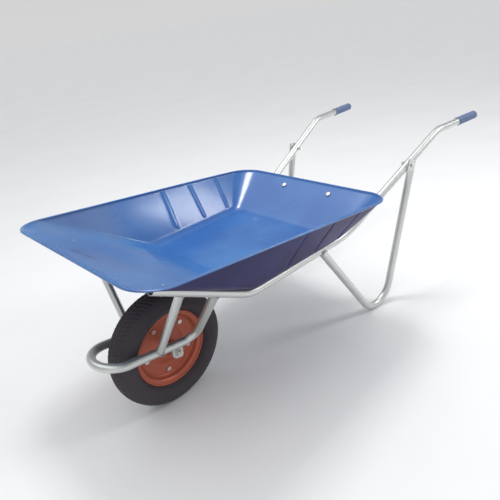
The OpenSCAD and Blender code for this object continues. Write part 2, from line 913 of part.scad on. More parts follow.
module rim_half(side) {
    t = rim_sheet;
    n = len(rim_line);
    under = [for (i = [n - 1:-1:0])
        let (a = rim_line[max(i - 1, 0)], b = rim_line[min(i + 1, n - 1)], d = unit(b - a))
        rim_line[i] + t * (i == 0 ? [0, 1] : [-d[1], d[0]])];
    color("indianred")
        placed()
            on_side(side)
                on_axle()
                    difference() {
                        union() {
                            rotate_extrude($fn = round_fn)
                                polygon(concat(rim_line, under));
                            rotate_extrude($fn = round_fn)
                                translate([lip_ring_r, rim_w / 2 - flange_lip_r])
                                    circle(r = flange_lip_r, $fn = 24);
                        }
                        for (i = [0:rim_bolt_count - 1])
                            rotate([0, 0, bolt_turn(i)])
                                translate([rim_bolt_r, 0, -1])
                                    cylinder(d = rim_bolt_d + hole_gap, h = t + 2);
                        if (side > 0)
                            rotate([0, 0, valve_angle])
                                translate([bead_seat_r - 12, 0, valve_y])
                                    rotate([0, 90, 0])
                                        cylinder(d = valve_d + 1.5, h = 20);
                    }
}

function bolt_turn(i) = -44 - 360 * i / rim_bolt_count;

module rim_half_left() {
    rim_half(-1);
}

module rim_half_right() {
    rim_half(1);
}

module at_rim_bolts() {
    on_axle()
        for (i = [0:rim_bolt_count - 1])
            rotate([0, 0, bolt_turn(i)])
                translate([rim_bolt_r, 0, 0])
                    children();
}

module rim_bolts() {
    color("gainsboro")
        placed()
            at_rim_bolts() {
                translate([0, 0, -rim_sheet - bolt_head_h])
                    hex(bolt_nut_af, bolt_head_h);
                translate([0, 0, -rim_sheet - eps])
                    cylinder(d = rim_bolt_d, h = 2 * rim_sheet + bolt_nut_h + 2);
            }
}

module rim_nuts() {
    color("gainsboro")
        placed()
            at_rim_bolts()
                translate([0, 0, rim_sheet])
                    difference() {
                        hex(bolt_nut_af, bolt_nut_h);
                        translate([0, 0, -1])
                            cylinder(d = rim_bolt_d, h = bolt_nut_h + 2);
                    }
}

// tyre section as radius and distance from the middle plane, bead to crown, on one side
bead_in_r = bead_seat_r + bead_gap;
bead_y = flange_y - 1.5;
toe_y = valve_y + valve_d / 2 + contact_gap;
crown_r = wheel_r - lug_depth;
function side_r(share) = flange_r + share * side_h;
tyre_half = [[bead_in_r, toe_y], [bead_in_r, flange_y - 4 - bead_gap],
             [bead_in_r + 3, bead_y], [bead_in_r + 7, flange_y - 3 * bead_gap],
             [flange_r + bead_gap, flange_y - 3 * bead_gap],
             [flange_r + 2 * bead_gap, rim_w / 2], [side_r(0.05), rim_w / 2 + 2],
             [side_r(0.14), tyre_w / 2 - 5], [side_r(0.27), tyre_w / 2], [side_r(0.46), tyre_w / 2 - 0.5],
             [side_r(0.65), tyre_w / 2 - 5], [side_r(0.81), tyre_w / 2 - 12], [side_r(0.9), tyre_w / 2 - 21],
             [crown_r, tyre_w / 2 - 32], [crown_r, 0]];
tyre_inner = [[bead_in_r, toe_y], [bead_in_r + 7, bead_y - 7],
              [side_r(0.1), flange_y - 1], [side_r(0.21), tyre_w / 2 - 5 - tyre_wall],
              [side_r(0.3), tyre_w / 2 - tyre_wall], [side_r(0.52), tyre_w / 2 - tyre_wall - 6],
              [side_r(0.68), tyre_w / 2 - tyre_wall - 16], [wheel_r - tread_t - 3, 0]];

function mirrored(half) = concat([for (q = half) [q[0], -q[1]]], [for (i = [len(half) - 2:-1:0]) half[i]]);
function backwards(list) = [for (i = [len(list) - 1:-1:0]) list[i]];

module tyre() {
    lug_w = 360 / tread_count * lug_share;
    lug_y = tyre_w / 2 - 17;
    color("dimgray")
        placed()
            on_axle() {
                rotate_extrude($fn = round_fn)
                    difference() {
                        polygon(mirrored(tyre_half));
                        polygon(mirrored(concat([[bead_in_r - 1, toe_y]], tyre_inner)));
                    }
                for (i = [0:tread_count - 1])
                    for (row = [-1, 0, 1])
                        rotate([0, 0, 360 * (i + row / 2) / tread_count])
                            translate([0, 0, row * lug_y * 0.68 - lug_y * 0.29])
                                rotate_extrude(angle = lug_w, $fn = round_fn)
                                    polygon([[crown_r - 6, 0], [wheel_r - (row == 0 ? 0 : 1.2), 0],
                                             [wheel_r - (row == 0 ? 0 : 1.2), lug_y * 0.58],
                                             [crown_r - 6, lug_y * 0.58]]);
            }
}

module inner_tube() {
    section = mirrored(concat([[tube_in_r, toe_y]], [for (i = [1:len(tyre_inner) - 1])
        tyre_inner[i] - [i > 4 ? 0.5 : 0, i < len(tyre_inner) - 1 ? 0.6 : 0]]));
    middle = [(bead_seat_r + wheel_r - tread_t) / 2, 0];
    color("black")
        placed()
            on_axle()
                rotate_extrude($fn = round_fn)
                    difference() {
                        polygon(section);
                        polygon([for (q = section) q + tube_t * unit(middle - q)]);
                    }
}

module at_valve(r) {
    on_axle()
        rotate([0, 0, valve_angle])
            translate([r, 0, valve_y])
                rotate([0, -90, 0])
                    children();
}

module valve_stem() {
    color("goldenrod")
        placed()
            at_valve(tube_in_r)
                difference() {
                    cylinder(d = valve_d, h = valve_len);
                    translate([0, 0, -1])
                        cylinder(d = 3, h = valve_len + 2);
                }
}

module valve_cap() {
    color("black")
        placed()
            at_valve(tube_in_r - valve_len + valve_cap_grip)
                difference() {
                    cylinder(d = valve_cap_d, h = valve_cap_len);
                    translate([0, 0, -1])
                        cylinder(d = valve_d, h = valve_cap_len - 2);
                }
}

tray();
main_tube_left();
main_tube_right();
front_cross_tube();
rear_strap();
tray_bolts();
tray_washers();
tray_nuts();
leg_left();
leg_right();
leg_bolts();
leg_nuts();
grip_left();
grip_right();
wheel_guard();
stay_left();
stay_right();
axle_bracket_left();
axle_bracket_right();
axle();
axle_spacers();
axle_washers();
axle_nuts();
bearing_inner_rings();
bearing_outer_rings();
bearing_balls();
hub();
rim_half_left();
rim_half_right();
rim_bolts();
rim_nuts();
tyre();
inner_tube();
valve_stem();
valve_cap();
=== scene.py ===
"""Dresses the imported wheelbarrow: pressed tray, welded tube frame, air-filled wheel and hand grips."""

import json
import logging
import math
from dataclasses import dataclass, field
from enum import Enum
from typing import Iterable, Sequence

import bmesh
import bpy
import numpy as np
from mathutils import Matrix, Vector

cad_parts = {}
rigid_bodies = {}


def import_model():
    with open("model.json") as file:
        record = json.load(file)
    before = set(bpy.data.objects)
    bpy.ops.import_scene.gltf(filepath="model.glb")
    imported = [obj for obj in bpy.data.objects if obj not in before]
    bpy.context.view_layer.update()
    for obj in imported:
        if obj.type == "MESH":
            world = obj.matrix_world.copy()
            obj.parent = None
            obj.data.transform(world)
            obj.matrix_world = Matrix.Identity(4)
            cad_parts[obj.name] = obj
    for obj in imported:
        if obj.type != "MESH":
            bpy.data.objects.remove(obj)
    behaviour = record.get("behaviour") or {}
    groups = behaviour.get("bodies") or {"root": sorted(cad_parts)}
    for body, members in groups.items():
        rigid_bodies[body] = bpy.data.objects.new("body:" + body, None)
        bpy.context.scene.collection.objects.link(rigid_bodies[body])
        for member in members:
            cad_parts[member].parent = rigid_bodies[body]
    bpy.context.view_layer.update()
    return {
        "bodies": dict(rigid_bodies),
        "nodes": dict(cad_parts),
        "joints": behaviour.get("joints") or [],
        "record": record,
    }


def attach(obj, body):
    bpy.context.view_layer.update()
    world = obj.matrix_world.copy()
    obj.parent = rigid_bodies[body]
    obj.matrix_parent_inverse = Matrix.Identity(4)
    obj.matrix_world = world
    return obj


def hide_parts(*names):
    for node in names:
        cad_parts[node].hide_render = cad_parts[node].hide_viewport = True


LOG = logging.getLogger("barrow")
Colour = tuple[float, float, float]
Place = tuple[float, float, float]

# The wheel's axle and the mesh attribute that marks the tray's worn lip.
AXLE_X = -0.55725
AXLE_Z = 0.18
LIP_WEAR = "lip_wear"


class Side(Enum):
    """Left and right as the person between the handles sees them."""

    LEFT = -1
    RIGHT = 1


# ---------------------------------------------------------------- node trees


class Wire:
    """The output of a node, which Python arithmetic turns into further Math nodes."""

    def __init__(self, bench: "Bench", socket: bpy.types.NodeSocket) -> None:
        """Keep the tree's bench and the socket.

        Args:
            bench: the tree that the socket is in.
            socket: the output socket.
        """
        self.bench = bench
        self.socket = socket

    def _math(self, operation: str, first: object, second: object) -> "Wire":
        """Add a Math node.

        Args:
            operation: the Math node's operation.
            first: its first value or wire.
            second: its second value or wire.

        Returns:
            The node's result.
        """
        return self.bench.add("ShaderNodeMath", {"operation": operation}, {0: first, 1: second})

    def __add__(self, other: object) -> "Wire":
        """Sum."""
        return self._math("ADD", self, other)

    __radd__ = __add__

    def __sub__(self, other: object) -> "Wire":
        """Difference."""
        return self._math("SUBTRACT", self, other)

    def __rsub__(self, other: object) -> "Wire":
        """Difference with this wire second."""
        return self._math("SUBTRACT", other, self)

    def __mul__(self, other: object) -> "Wire":
        """Product."""
        return self._math("MULTIPLY", self, other)

    __rmul__ = __mul__

    def __truediv__(self, other: object) -> "Wire":
        """Quotient."""
        return self._math("DIVIDE", self, other)

    def __rtruediv__(self, other: object) -> "Wire":
        """Quotient with this wire second."""
        return self._math("DIVIDE", other, self)

    def __abs__(self) -> "Wire":
        """Size without its sign."""
        return self._math("ABSOLUTE", self, 0.0)

    def larger(self, other: object) -> "Wire":
        """The larger of this and another."""
        return self._math("MAXIMUM", self, other)

    def smaller(self, other: object) -> "Wire":
        """The smaller of this and another."""
        return self._math("MINIMUM", self, other)

    def apply(self, operation: str, other: object = 0.0) -> "Wire":
        """Any other Math operation on this wire."""
        return self._math(operation, self, other)

    def fade(self, low: float, high: float) -> "Wire":
        """Smooth step from 0 at low to 1 at high.

        Args:
            low: the value that gives 0.
            high: the value that gives 1.

        Returns:
            The stepped value.
        """
        return self.bench.add(
            "ShaderNodeMapRange",
            {"interpolation_type": "SMOOTHSTEP"},
            {"Value": self, "From Min": low, "From Max": high, "To Min": 0.0, "To Max": 1.0},
        )


class Bench:
    """Builds the nodes of one tree, for a material or for Geometry Nodes."""

    def __init__(self, tree: bpy.types.NodeTree) -> None:
        """Start on a tree.

        Args:
            tree: the node tree to fill.
        """
        self.tree = tree

    def add(
        self, kind: str, settings: dict | None = None, sockets: dict | None = None, out: object = 0
    ) -> Wire:
        """Add a node of any type.

        Args:
            kind: the node's type.
            settings: its properties, set first; "stops" are a ramp's (place, colour) pairs.
            sockets: a value or a wire for each input, by place, name or identifier.
            out: the place, name or identifier of the output wanted.

        Returns:
            The wanted output.
        """
        node = self.tree.nodes.new(kind)
        for name, value in (settings or {}).items():
            if name == "stops":
                self._set_stops(node, value)
            else:
                setattr(node, name, value)
        for key, value in (sockets or {}).items():
            self.plug(self._find(node.inputs, key), value)
        return Wire(self, self._find(node.outputs, out))

    def plug(self, socket: bpy.types.NodeSocket, value: object) -> None:
        """Link a wire to an input, or set the input's own value."""
        if isinstance(value, Wire):
            self.tree.links.new(value.socket, socket)
        elif isinstance(value, bpy.types.ID) or not hasattr(value, "__len__") or isinstance(value, str):
            socket.default_value = value
        else:
            count = len(socket.default_value)
            socket.default_value = (tuple(value) + (1.0,))[:count]

    @staticmethod
    def _find(sockets: bpy.types.bpy_prop_collection, key: object) -> bpy.types.NodeSocket:
        """Find a socket.

        Args:
            sockets: a node's inputs or outputs.
            key: a place, a name or an identifier.

        Returns:
            The socket.
        """
        if isinstance(key, int):
            return sockets[key]
        exact = [s for s in sockets if s.identifier == key]
        return (exact or [s for s in sockets if s.name == key and s.enabled])[0]

    @staticmethod
    def _set_stops(node: bpy.types.Node, stops: Sequence[tuple[float, Colour]]) -> None:
        """Give a colour ramp its stops."""
        elements = node.color_ramp.elements
        while len(elements) > 1:
            elements.remove(elements[-1])
        for i, (place, colour) in enumerate(stops):
            element = elements[0] if i == 0 else elements.new(place)
            element.position = place
            element.color = (*colour, 1.0)


class PaintBench(Bench):
    """A material's tree, with the few patterns that the finishes share."""

    def __init__(self, tree: bpy.types.NodeTree) -> None:
        """Start on a material's tree and read where each point is on the object."""
        super().__init__(tree)
        self.place = self.add("ShaderNodeTexCoord", out="Object")
        split = self.add("ShaderNodeSeparateXYZ", sockets={0: self.place}).socket.node
        self.x, self.y, self.z = (Wire(self, s) for s in split.outputs)

    def stretched(self, scale: Sequence[float], turn: Sequence[float] = (0.0, 0.0, 0.0)) -> Wire:
        """The place on the object, turned and stretched."""
        sockets = {"Vector": self.place, "Rotation": turn, "Scale": scale}
        return self.add("ShaderNodeMapping", None, sockets)

    def noise(
        self, scale: float, detail: float = 4.0, rough: float = 0.55, place: Wire | None = None
    ) -> Wire:
        """Cloudy noise.

        Args:
            scale: patches per metre.
            detail: number of finer layers.
            rough: strength of the finer layers.
            place: where to read it, the plain place if None.

        Returns:
            Noise around 0.5.
        """
        sockets = {"Vector": place or self.place, "Scale": scale, "Detail": detail, "Roughness": rough}
        return self.add("ShaderNodeTexNoise", {"normalize": True}, sockets, "Fac")

    def cells(self, scale: float) -> Wire:
        """Voronoi cells, each with a colour of its own."""
        return self.add("ShaderNodeTexVoronoi", {}, {"Vector": self.place, "Scale": scale}, "Color")

    def stored(self, name: str) -> Wire:
        """A value stored on the mesh."""
        return self.add("ShaderNodeAttribute", {"attribute_name": name}, {}, "Fac")

    def mix(self, share: object, first: object, second: object) -> Wire:
        """Blend of two colours.

        Args:
            share: 0 for the first, 1 for the second.
            first: colour or wire.
            second: colour or wire.

        Returns:
            The blended colour.
        """
        sockets = {"Factor_Float": share, "A_Color": first, "B_Color": second}
        return self.add("ShaderNodeMix", {"data_type": "RGBA"}, sockets, "Result_Color")

    def bump(
        self, height: Wire, distance: float, strength: float = 1.0, under: Wire | None = None
    ) -> Wire:
        """Bumped normal.

        Args:
            height: the height pattern.
            distance: how high 1.0 stands, in metres.
            strength: share of the effect.
            under: an earlier bump to build on.

        Returns:
            The normal.
        """
        sockets = {"Height": height, "Distance": distance, "Strength": strength}
        if under is not None:
            sockets["Normal"] = under
        return self.add("ShaderNodeBump", {}, sockets, "Normal")

    def axle_distance(self) -> Wire:
        """Distance from the wheel's axle."""
        across, up = self.x - AXLE_X, self.z - AXLE_Z
        return (across * across + up * up).apply("SQRT")


# ---------------------------------------------------------------- finishes


@dataclass(frozen=True)
class Finish:
    """A surface's finish, made once as a material."""

    name: str

    def made(self) -> bpy.types.Material:
        """The material, built the first time it is asked for.

        Returns:
            The finish's material.
        """
        known = bpy.data.materials.get(self.name)
        if known is not None:
            return known
        material = bpy.data.materials.new(self.name)
        material.use_nodes = True
        material.node_tree.nodes.clear()
        bench = PaintBench(material.node_tree)
        shader = bench.add("ShaderNodeBsdfPrincipled", {}, self.surface(bench), "BSDF")
        output = material.node_tree.nodes.new("ShaderNodeOutputMaterial")
        bench.plug(output.inputs["Surface"], shader)
        return material

    def surface(self, bench: PaintBench) -> dict:
        """The Principled shader's sockets.

        Args:
            bench: the material's tree.

        Returns:
            A value or a wire for each socket that isn't left alone.
        """
        raise NotImplementedError


@dataclass(frozen=True)
class TrayEnamel(Finish):
    """Glossy blue enamel on pressed sheet: dust, hairline scratches and a dark streak on the front
    slope.
    """

    name: str = "tray_enamel_inside"
    base: Colour = (0.025, 0.125, 0.40)
    pale: Colour = (0.055, 0.20, 0.50)
    dust: Colour = (0.20, 0.24, 0.33)
    dusty_from_x: float = -0.42
    dusty_to_x: float = -0.53
    clean_from_x: float = -0.67
    clean_to_x: float = -0.75
    streak_tint: Colour = (0.018, 0.03, 0.12)
    bare: Colour = (0.16, 0.15, 0.15)
    streak_ends: tuple[Place, Place] = ((-0.712, 0.092, 0.0), (-0.690, -0.012, 0.0))
    streak_width: float = 0.006
    gloss: float = 0.21

    def surface(self, bench: PaintBench) -> dict:
        """Enamel over cloudy dust and wear.

        Args:
            bench: the material's tree.

        Returns:
            The shader's sockets.
        """
        clouds = bench.noise(3.2, 3.0)
        specks = bench.noise(60.0, 6.0, 0.68)
        colour = bench.mix(clouds.fade(0.35, 0.68), self.base, self.pale)
        slope = bench.x.fade(self.dusty_from_x, self.dusty_to_x)
        slope = slope * (1.0 - bench.x.fade(self.clean_from_x, self.clean_to_x) * 0.65)
        patchy = 0.45 + 0.55 * bench.noise(4.5, 5.0, 0.55).fade(0.22, 0.80)
        film = patchy * (0.06 + 0.44 * slope) + specks.fade(0.52, 0.80) * 0.08 * slope
        colour = bench.mix(film, colour, self.dust)
        hair = self._scratches(bench)
        colour = bench.mix(hair * 0.35, colour, self.pale)
        # Darker streak across the front slope.
        dark_streak = self._dark_streak(bench)
        colour = bench.mix(dark_streak * 0.55, colour, self.streak_tint)
        worn = bench.stored(LIP_WEAR)
        chips = (bench.noise(70.0, 5.0, 0.7).fade(0.60, 0.68) * worn).smaller(1.0)
        colour = bench.mix(worn * 0.22, colour, self.pale)
        colour = bench.mix(chips * 0.8, colour, self.bare)
        rough = self.gloss + film * 0.34 + specks.fade(0.45, 0.75) * 0.06 + hair * 0.18 + chips * 0.3
        dents = bench.bump(bench.noise(5.5, 1.0), 0.0022, 0.55)
        peel = bench.bump(bench.noise(620.0, 1.0), 0.00006, 0.35, dents)
        marks = bench.bump(1.0 - hair - chips, 0.00008, 0.5, peel)
        return {
            "Base Color": colour, "Roughness": rough.smaller(0.85), "Metallic": 0.0, "Normal": marks,
            "Coat Weight": 0.35 - film * 0.3, "Coat Roughness": 0.12, "IOR": 1.5,
        }

    def _scratches(self, bench: PaintBench) -> Wire:
        """Fine lines dragged along and across the sheet."""
        lines = []
        for turn, scale in ((0.35, (6.0, 260.0, 60.0)), (-0.9, (220.0, 5.0, 50.0))):
            place = bench.stretched(scale, (0.0, 0.0, turn))
            lines.append(bench.noise(1.0, 2.0, 0.4, place).fade(0.735, 0.775))
        patchy = bench.noise(7.0, 2.0).fade(0.42, 0.62)
        return lines[0].larger(lines[1]) * patchy

    def _dark_streak(self, bench: PaintBench) -> Wire:
        """A dark streak between two points of the front slope."""
        first, last = (Vector(p) for p in self.streak_ends)
        along = (last - first).normalized()
        length = (last - first).length
        dx, dy = bench.x - first.x, bench.y - first.y
        run = dx * along.x + dy * along.y
        off = abs(dx * along.y - dy * along.x)
        width = self.streak_width + self.streak_width * bench.noise(60.0, 4.0)
        inside = (1.0 - (off / width).fade(0.5, 1.6)) * run.fade(-0.008, 0.02)
        inside = inside * (1.0 - run.fade(length - 0.03, length + 0.01))
        return inside * bench.noise(90.0, 4.0, 0.7).fade(0.28, 0.6)


@dataclass(frozen=True)
class ShadedTrayUnderside(Finish):
    """The same sheet's outside: the inside's blue enamel painted dark navy as painted shade, with mud
    splashes low down.
    """

    name: str = "tray_enamel_outside"
    # base and pale are the inside's blue enamel darkened to navy: painted shade on the sheet's outside.
    base: Colour = (0.015, 0.013, 0.085)
    pale: Colour = (0.034, 0.030, 0.135)
    mud: Colour = (0.13, 0.12, 0.12)
    lip: Colour = (0.045, 0.14, 0.44)

    def surface(self, bench: PaintBench) -> dict:
        """Enamel darkened as painted shade, with road dust, and the inside's blue on the lip.

        Args:
            bench: the material's tree.

        Returns:
            The shader's sockets.
        """
        clouds = bench.noise(5.0, 4.0, 0.6)
        colour = bench.mix(clouds.fade(0.35, 0.7), self.base, self.pale)
        splash = bench.noise(28.0, 8.0, 0.72).fade(0.56, 0.74) * (1.0 - bench.z.fade(0.34, 0.50))
        colour = bench.mix(splash * 0.5, colour, self.mud)
        colour = bench.mix(bench.stored(LIP_WEAR) * 0.75, colour, self.lip)
        rough = 0.36 + splash * 0.35 + clouds * 0.10
        dents = bench.bump(bench.noise(7.0, 1.0), 0.0020, 0.5)
        return {
            "Base Color": colour, "Roughness": rough, "Specular IOR Level": 0.22,
            "Normal": bench.bump(splash, 0.0002, 0.6, dents),
        }


@dataclass(frozen=True)
class GalvanisedTube(Finish):
    """Bright galvanised tube: zinc spangle, cloudy tarnish, small pits and dirt near the ground."""

    name: str = "galvanised_tube"
    bright: Colour = (0.52, 0.53, 0.49)
    dull: Colour = (0.30, 0.315, 0.28)
    dirt: Colour = (0.16, 0.145, 0.12)
    metal: float = 0.86

    def surface(self, bench: PaintBench) -> dict:
        """Zinc with spangle and grime.

        Args:
            bench: the material's tree.

        Returns:
            The shader's sockets.
        """
        spangle = bench.add("ShaderNodeSeparateColor", {}, {0: bench.cells(170.0)}, 0)
        tarnish = bench.noise(9.0, 6.0, 0.6)
        colour = bench.mix(tarnish.fade(0.36, 0.74) * 0.75 + spangle * 0.12, self.bright, self.dull)
        low = 1.0 - bench.z.fade(0.01, 0.17)
        grime = bench.noise(55.0, 7.0, 0.7).fade(0.44, 0.70) * (0.12 + 0.62 * low)
        colour = bench.mix(grime, colour, self.dirt)
        rough = 0.20 + tarnish * 0.15 + spangle * 0.06 + grime * 0.30
        pits = bench.bump(spangle, 0.00007, 0.35)
        runs = bench.bump(bench.noise(140.0, 3.0, 0.6), 0.00018, 0.35, pits)
        metal = self.metal - grime * 0.6
        return {"Base Color": colour, "Metallic": metal, "Roughness": rough, "Normal": runs}


@dataclass(frozen=True)
class WeldMetal(Finish):
    """Weld bead: grey steel with rust flecks and a cold-galvanised smear."""

    name: str = "weld_metal"
    dark: Colour = (0.30, 0.30, 0.285)
    light: Colour = (0.50, 0.51, 0.49)
    oxide: Colour = (0.17, 0.085, 0.045)

    def surface(self, bench: PaintBench) -> dict:
        """Steel with oxide."""
        smear = bench.noise(120.0, 5.0, 0.65)
        colour = bench.mix(smear.fade(0.38, 0.66), self.dark, self.light)
        rust = bench.noise(210.0, 6.0, 0.7).fade(0.58, 0.72)
        colour = bench.mix(rust * 0.7, colour, self.oxide)
        bumps = bench.bump(bench.noise(900.0, 2.0), 0.0001, 0.6)
        metal, rough = 0.75 - rust * 0.5, 0.42 + rust * 0.3
        return {"Base Color": colour, "Metallic": metal, "Roughness": rough, "Normal": bumps}


@dataclass(frozen=True)
class RimPaint(Finish):
    """Red-orange paint on the wheel's sheet halves: sun-faded patches, dust, and a pale ring on the
    flange lip, a painted highlight, with chips worn through it.
    """

    name: str = "rim_paint"
    deep: Colour = (0.42, 0.064, 0.055)
    warm: Colour = (0.54, 0.128, 0.056)
    lip_highlight: Colour = (0.64, 0.33, 0.29)
    dust: Colour = (0.26, 0.19, 0.16)
    bare: Colour = (0.30, 0.28, 0.27)
    disc_fold: float = 0.095
    hub_fold: float = 0.028
    flange_from: float = 0.1115
    flange_to: float = 0.1145

    def surface(self, bench: PaintBench) -> dict:
        """Faded paint with grime round the bolts and the disc's fold.

        Args:
            bench: the material's tree.

        Returns:
            The shader's sockets.
        """
        radius = bench.axle_distance()
        patches = bench.noise(16.0, 5.0, 0.6)
        colour = bench.mix(patches.fade(0.36, 0.66), self.deep, self.warm)
        streaks = bench.noise(60.0, 7.0, 0.7).fade(0.48, 0.74)
        fold = self._ring(radius, self.disc_fold, 0.012) + self._ring(radius, self.hub_fold, 0.010)
        grime = (streaks * (0.25 + fold)).smaller(0.85)
        colour = bench.mix(grime, colour, self.dust)
        # Pale ring on the flange lip: a painted highlight; the same mask also gathers chips and
        # roughness there.
        lip_highlight_and_wear = radius.fade(self.flange_from, self.flange_to)
        colour = bench.mix(lip_highlight_and_wear * (0.75 + 0.25 * patches), colour, self.lip_highlight)
        chips = bench.noise(150.0, 4.0, 0.7).fade(0.64, 0.69) * (0.3 + lip_highlight_and_wear * 0.7)
        colour = bench.mix(chips * 0.85, colour, self.bare)
        rough = 0.40 + grime * 0.30 + patches * 0.08 + lip_highlight_and_wear * 0.08
        peel = bench.bump(bench.noise(480.0, 1.0), 0.00006, 0.4)
        marks = bench.bump(1.0 - chips, 0.00012, 0.5, peel)
        coat = 0.12 - grime * 0.1
        return {"Base Color": colour, "Roughness": rough, "Normal": marks, "Coat Weight": coat}

    @staticmethod
    def _ring(radius: Wire, at: float, width: float) -> Wire:
        """A soft ring of half strength at one distance from the axle."""
        return (1.0 - abs(radius - at).fade(0.0, width)) * 0.5


@dataclass(frozen=True)
class TyreRubber(Finish):
    """Dusty black rubber: grey tread faces, darker grooves, dry mud in the hollows."""

    name: str = "tyre_rubber"
    black: Colour = (0.013, 0.011, 0.016)
    grey: Colour = (0.042, 0.036, 0.048)
    mud: Colour = (0.230, 0.215, 0.230)
    tread_from: float = 0.158
    tread_to: float = 0.176

    def surface(self, bench: PaintBench) -> dict:
        """Rubber with dust that grows towards the tread.

        Args:
            bench: the material's tree.

        Returns:
            The shader's sockets.
        """
        tread = bench.axle_distance().fade(self.tread_from, self.tread_to)
        bloom = bench.noise(14.0, 6.0, 0.62)
        colour = bench.mix(bloom.fade(0.30, 0.72), self.black, self.grey)
        grit = bench.noise(130.0, 7.0, 0.74).fade(0.46, 0.70)
        caked = (0.20 + bloom.fade(0.4, 0.8) * 0.24) * tread
        dust = (grit * (0.05 + 0.36 * tread) + caked).smaller(0.8)
        colour = bench.mix(dust, colour, self.mud)
        rough = 0.62 + dust * 0.26 + bloom * 0.08
        grain = bench.bump(bench.noise(700.0, 3.0, 0.6), 0.00015, 0.5)
        lumps = bench.bump(grit, 0.0003, 0.4, grain)
        return {"Base Color": colour, "Roughness": rough, "Normal": lumps}


@dataclass(frozen=True)
class GripPlastic(Finish):
    """Blue-grey moulded plastic, satin where hands have polished it, scuffed at the end."""

    name: str = "grip_plastic"
    base: Colour = (0.042, 0.060, 0.165)
    faded: Colour = (0.078, 0.108, 0.275)
    grime: Colour = (0.045, 0.045, 0.060)
    streak_tint: Colour = (0.25, 0.28, 0.42)

    def surface(self, bench: PaintBench) -> dict:
        """Faded plastic with hand grime."""
        sun = bench.noise(20.0, 4.0, 0.6)
        colour = bench.mix(sun.fade(0.32, 0.68), self.base, self.faded)
        dirt = bench.noise(95.0, 6.0, 0.7).fade(0.50, 0.72)
        colour = bench.mix(dirt * 0.45, colour, self.grime)
        scuffs = bench.noise(1.0, 3.0, 0.5, bench.stretched((90.0, 420.0, 90.0))).fade(0.66, 0.74)
        colour = bench.mix(scuffs * 0.4, colour, self.streak_tint)
        rough = 0.40 + dirt * 0.25 + scuffs * 0.15 + sun * 0.08
        grain = bench.bump(bench.noise(1100.0, 2.0), 0.00009, 0.6)
        marks = bench.bump(1.0 - scuffs, 0.00008, 0.5, grain)
        return {"Base Color": colour, "Roughness": rough, "Normal": marks}


@dataclass(frozen=True)
class PlatedSteel(Finish):
    """Plated or ground steel, or brass: one colour of metal with stains, brushing and small pits."""

    name: str = "zinc_fastener"
    bright: Colour = (0.62, 0.63, 0.62)
    stain: Colour = (0.26, 0.235, 0.20)
    shine: float = 0.26
    stain_share: float = 0.7

    def surface(self, bench: PaintBench) -> dict:
        """Metal with stains that dull it."""
        stains = bench.noise(110.0, 6.0, 0.68).fade(0.46, 0.72)
        colour = bench.mix(stains * self.stain_share, self.bright, self.stain)
        brushing = bench.noise(1.0, 3.0, 0.5, bench.stretched((420.0, 1500.0, 420.0)))
        rough = self.shine + brushing * 0.14 + stains * 0.25
        pits = bench.bump(bench.noise(800.0, 2.0), 0.00005, 0.5)
        lines = bench.bump(brushing, 0.00004, 0.5, pits)
        metal = 0.96 - stains * 0.35
        return {"Base Color": colour, "Metallic": metal, "Roughness": rough, "Normal": lines}


@dataclass(frozen=True)
class SmallRubber(Finish):
    """Soft black rubber of the inner tube and the valve's cap."""

    name: str = "black_rubber"
    black: Colour = (0.018, 0.018, 0.020)
    chalky: Colour = (0.075, 0.075, 0.078)

    def surface(self, bench: PaintBench) -> dict:
        """Black with a chalky bloom."""
        chalk = bench.noise(75.0, 6.0, 0.7).fade(0.42, 0.75)
        colour = bench.mix(chalk, self.black, self.chalky)
        rough, grain = 0.55 + chalk * 0.25, bench.bump(chalk, 0.0001, 0.5)
        return {"Base Color": colour, "Roughness": rough, "Normal": grain}


@dataclass(frozen=True)
class StudioFloor(Finish):
    """Pale seamless studio floor with the faintest mottling."""

    name: str = "studio_floor"
    shade: Colour = (0.86, 0.86, 0.865)
    white: Colour = (0.88, 0.88, 0.88)

    def surface(self, bench: PaintBench) -> dict:
        """Near-white matt paper."""
        colour = bench.mix(bench.noise(2.5, 3.0).fade(0.3, 0.7), self.shade, self.white)
        return {"Base Color": colour, "Roughness": 0.9 - bench.noise(9.0) * 0.05}


FINISHES = {
    "tray_paint": TrayEnamel(),
    "galvanised_tube": GalvanisedTube(),
    "grip_plastic": GripPlastic(),
    "tyre_rubber": TyreRubber(),
    "black_rubber": SmallRubber(),
    "rim_paint": RimPaint(),
    "valve_brass": PlatedSteel("valve_brass", (0.72, 0.52, 0.22), (0.28, 0.19, 0.09), 0.28, 0.7),
    "bearing_steel": PlatedSteel(
        "bearing_steel", (0.62, 0.62, 0.62), (0.30, 0.28, 0.25), 0.18, 0.3
    ),
    "zinc_fastener": PlatedSteel(),
}


# ---------------------------------------------------------------- mesh helpers


def new_object(name: str, points: Iterable, faces: Iterable, smooth: bool = True) -> bpy.types.Object:
    """Make a mesh object at the origin.

    Args:
        name: the piece's name.
        points: its vertices, in metres.
        faces: its faces, by vertex number.
        smooth: whether the faces are shaded smooth.

    Returns:
        The object.
    """
    mesh = bpy.data.meshes.new(name)
    mesh.from_pydata([tuple(p) for p in points], [], [tuple(f) for f in faces])
    mesh.update()
    mesh.polygons.foreach_set("use_smooth", [smooth] * len(mesh.polygons))
    made = bpy.data.objects.new(name, mesh)
    bpy.context.scene.collection.objects.link(made)
    return made


def settled(source: bpy.types.Object, name: str) -> bpy.types.Object:
    """Turn an object with live modifiers into a plain mesh object.

    Args:
        source: the object, which is removed.
        name: the plain object's name.

    Returns:
        The plain object.
    """
    graph = bpy.context.evaluated_depsgraph_get()
    mesh = bpy.data.meshes.new_from_object(source.evaluated_get(graph))
    bpy.data.objects.remove(source)
    mesh.name = name
    made = bpy.data.objects.new(name, mesh)
    bpy.context.scene.collection.objects.link(made)
    return made


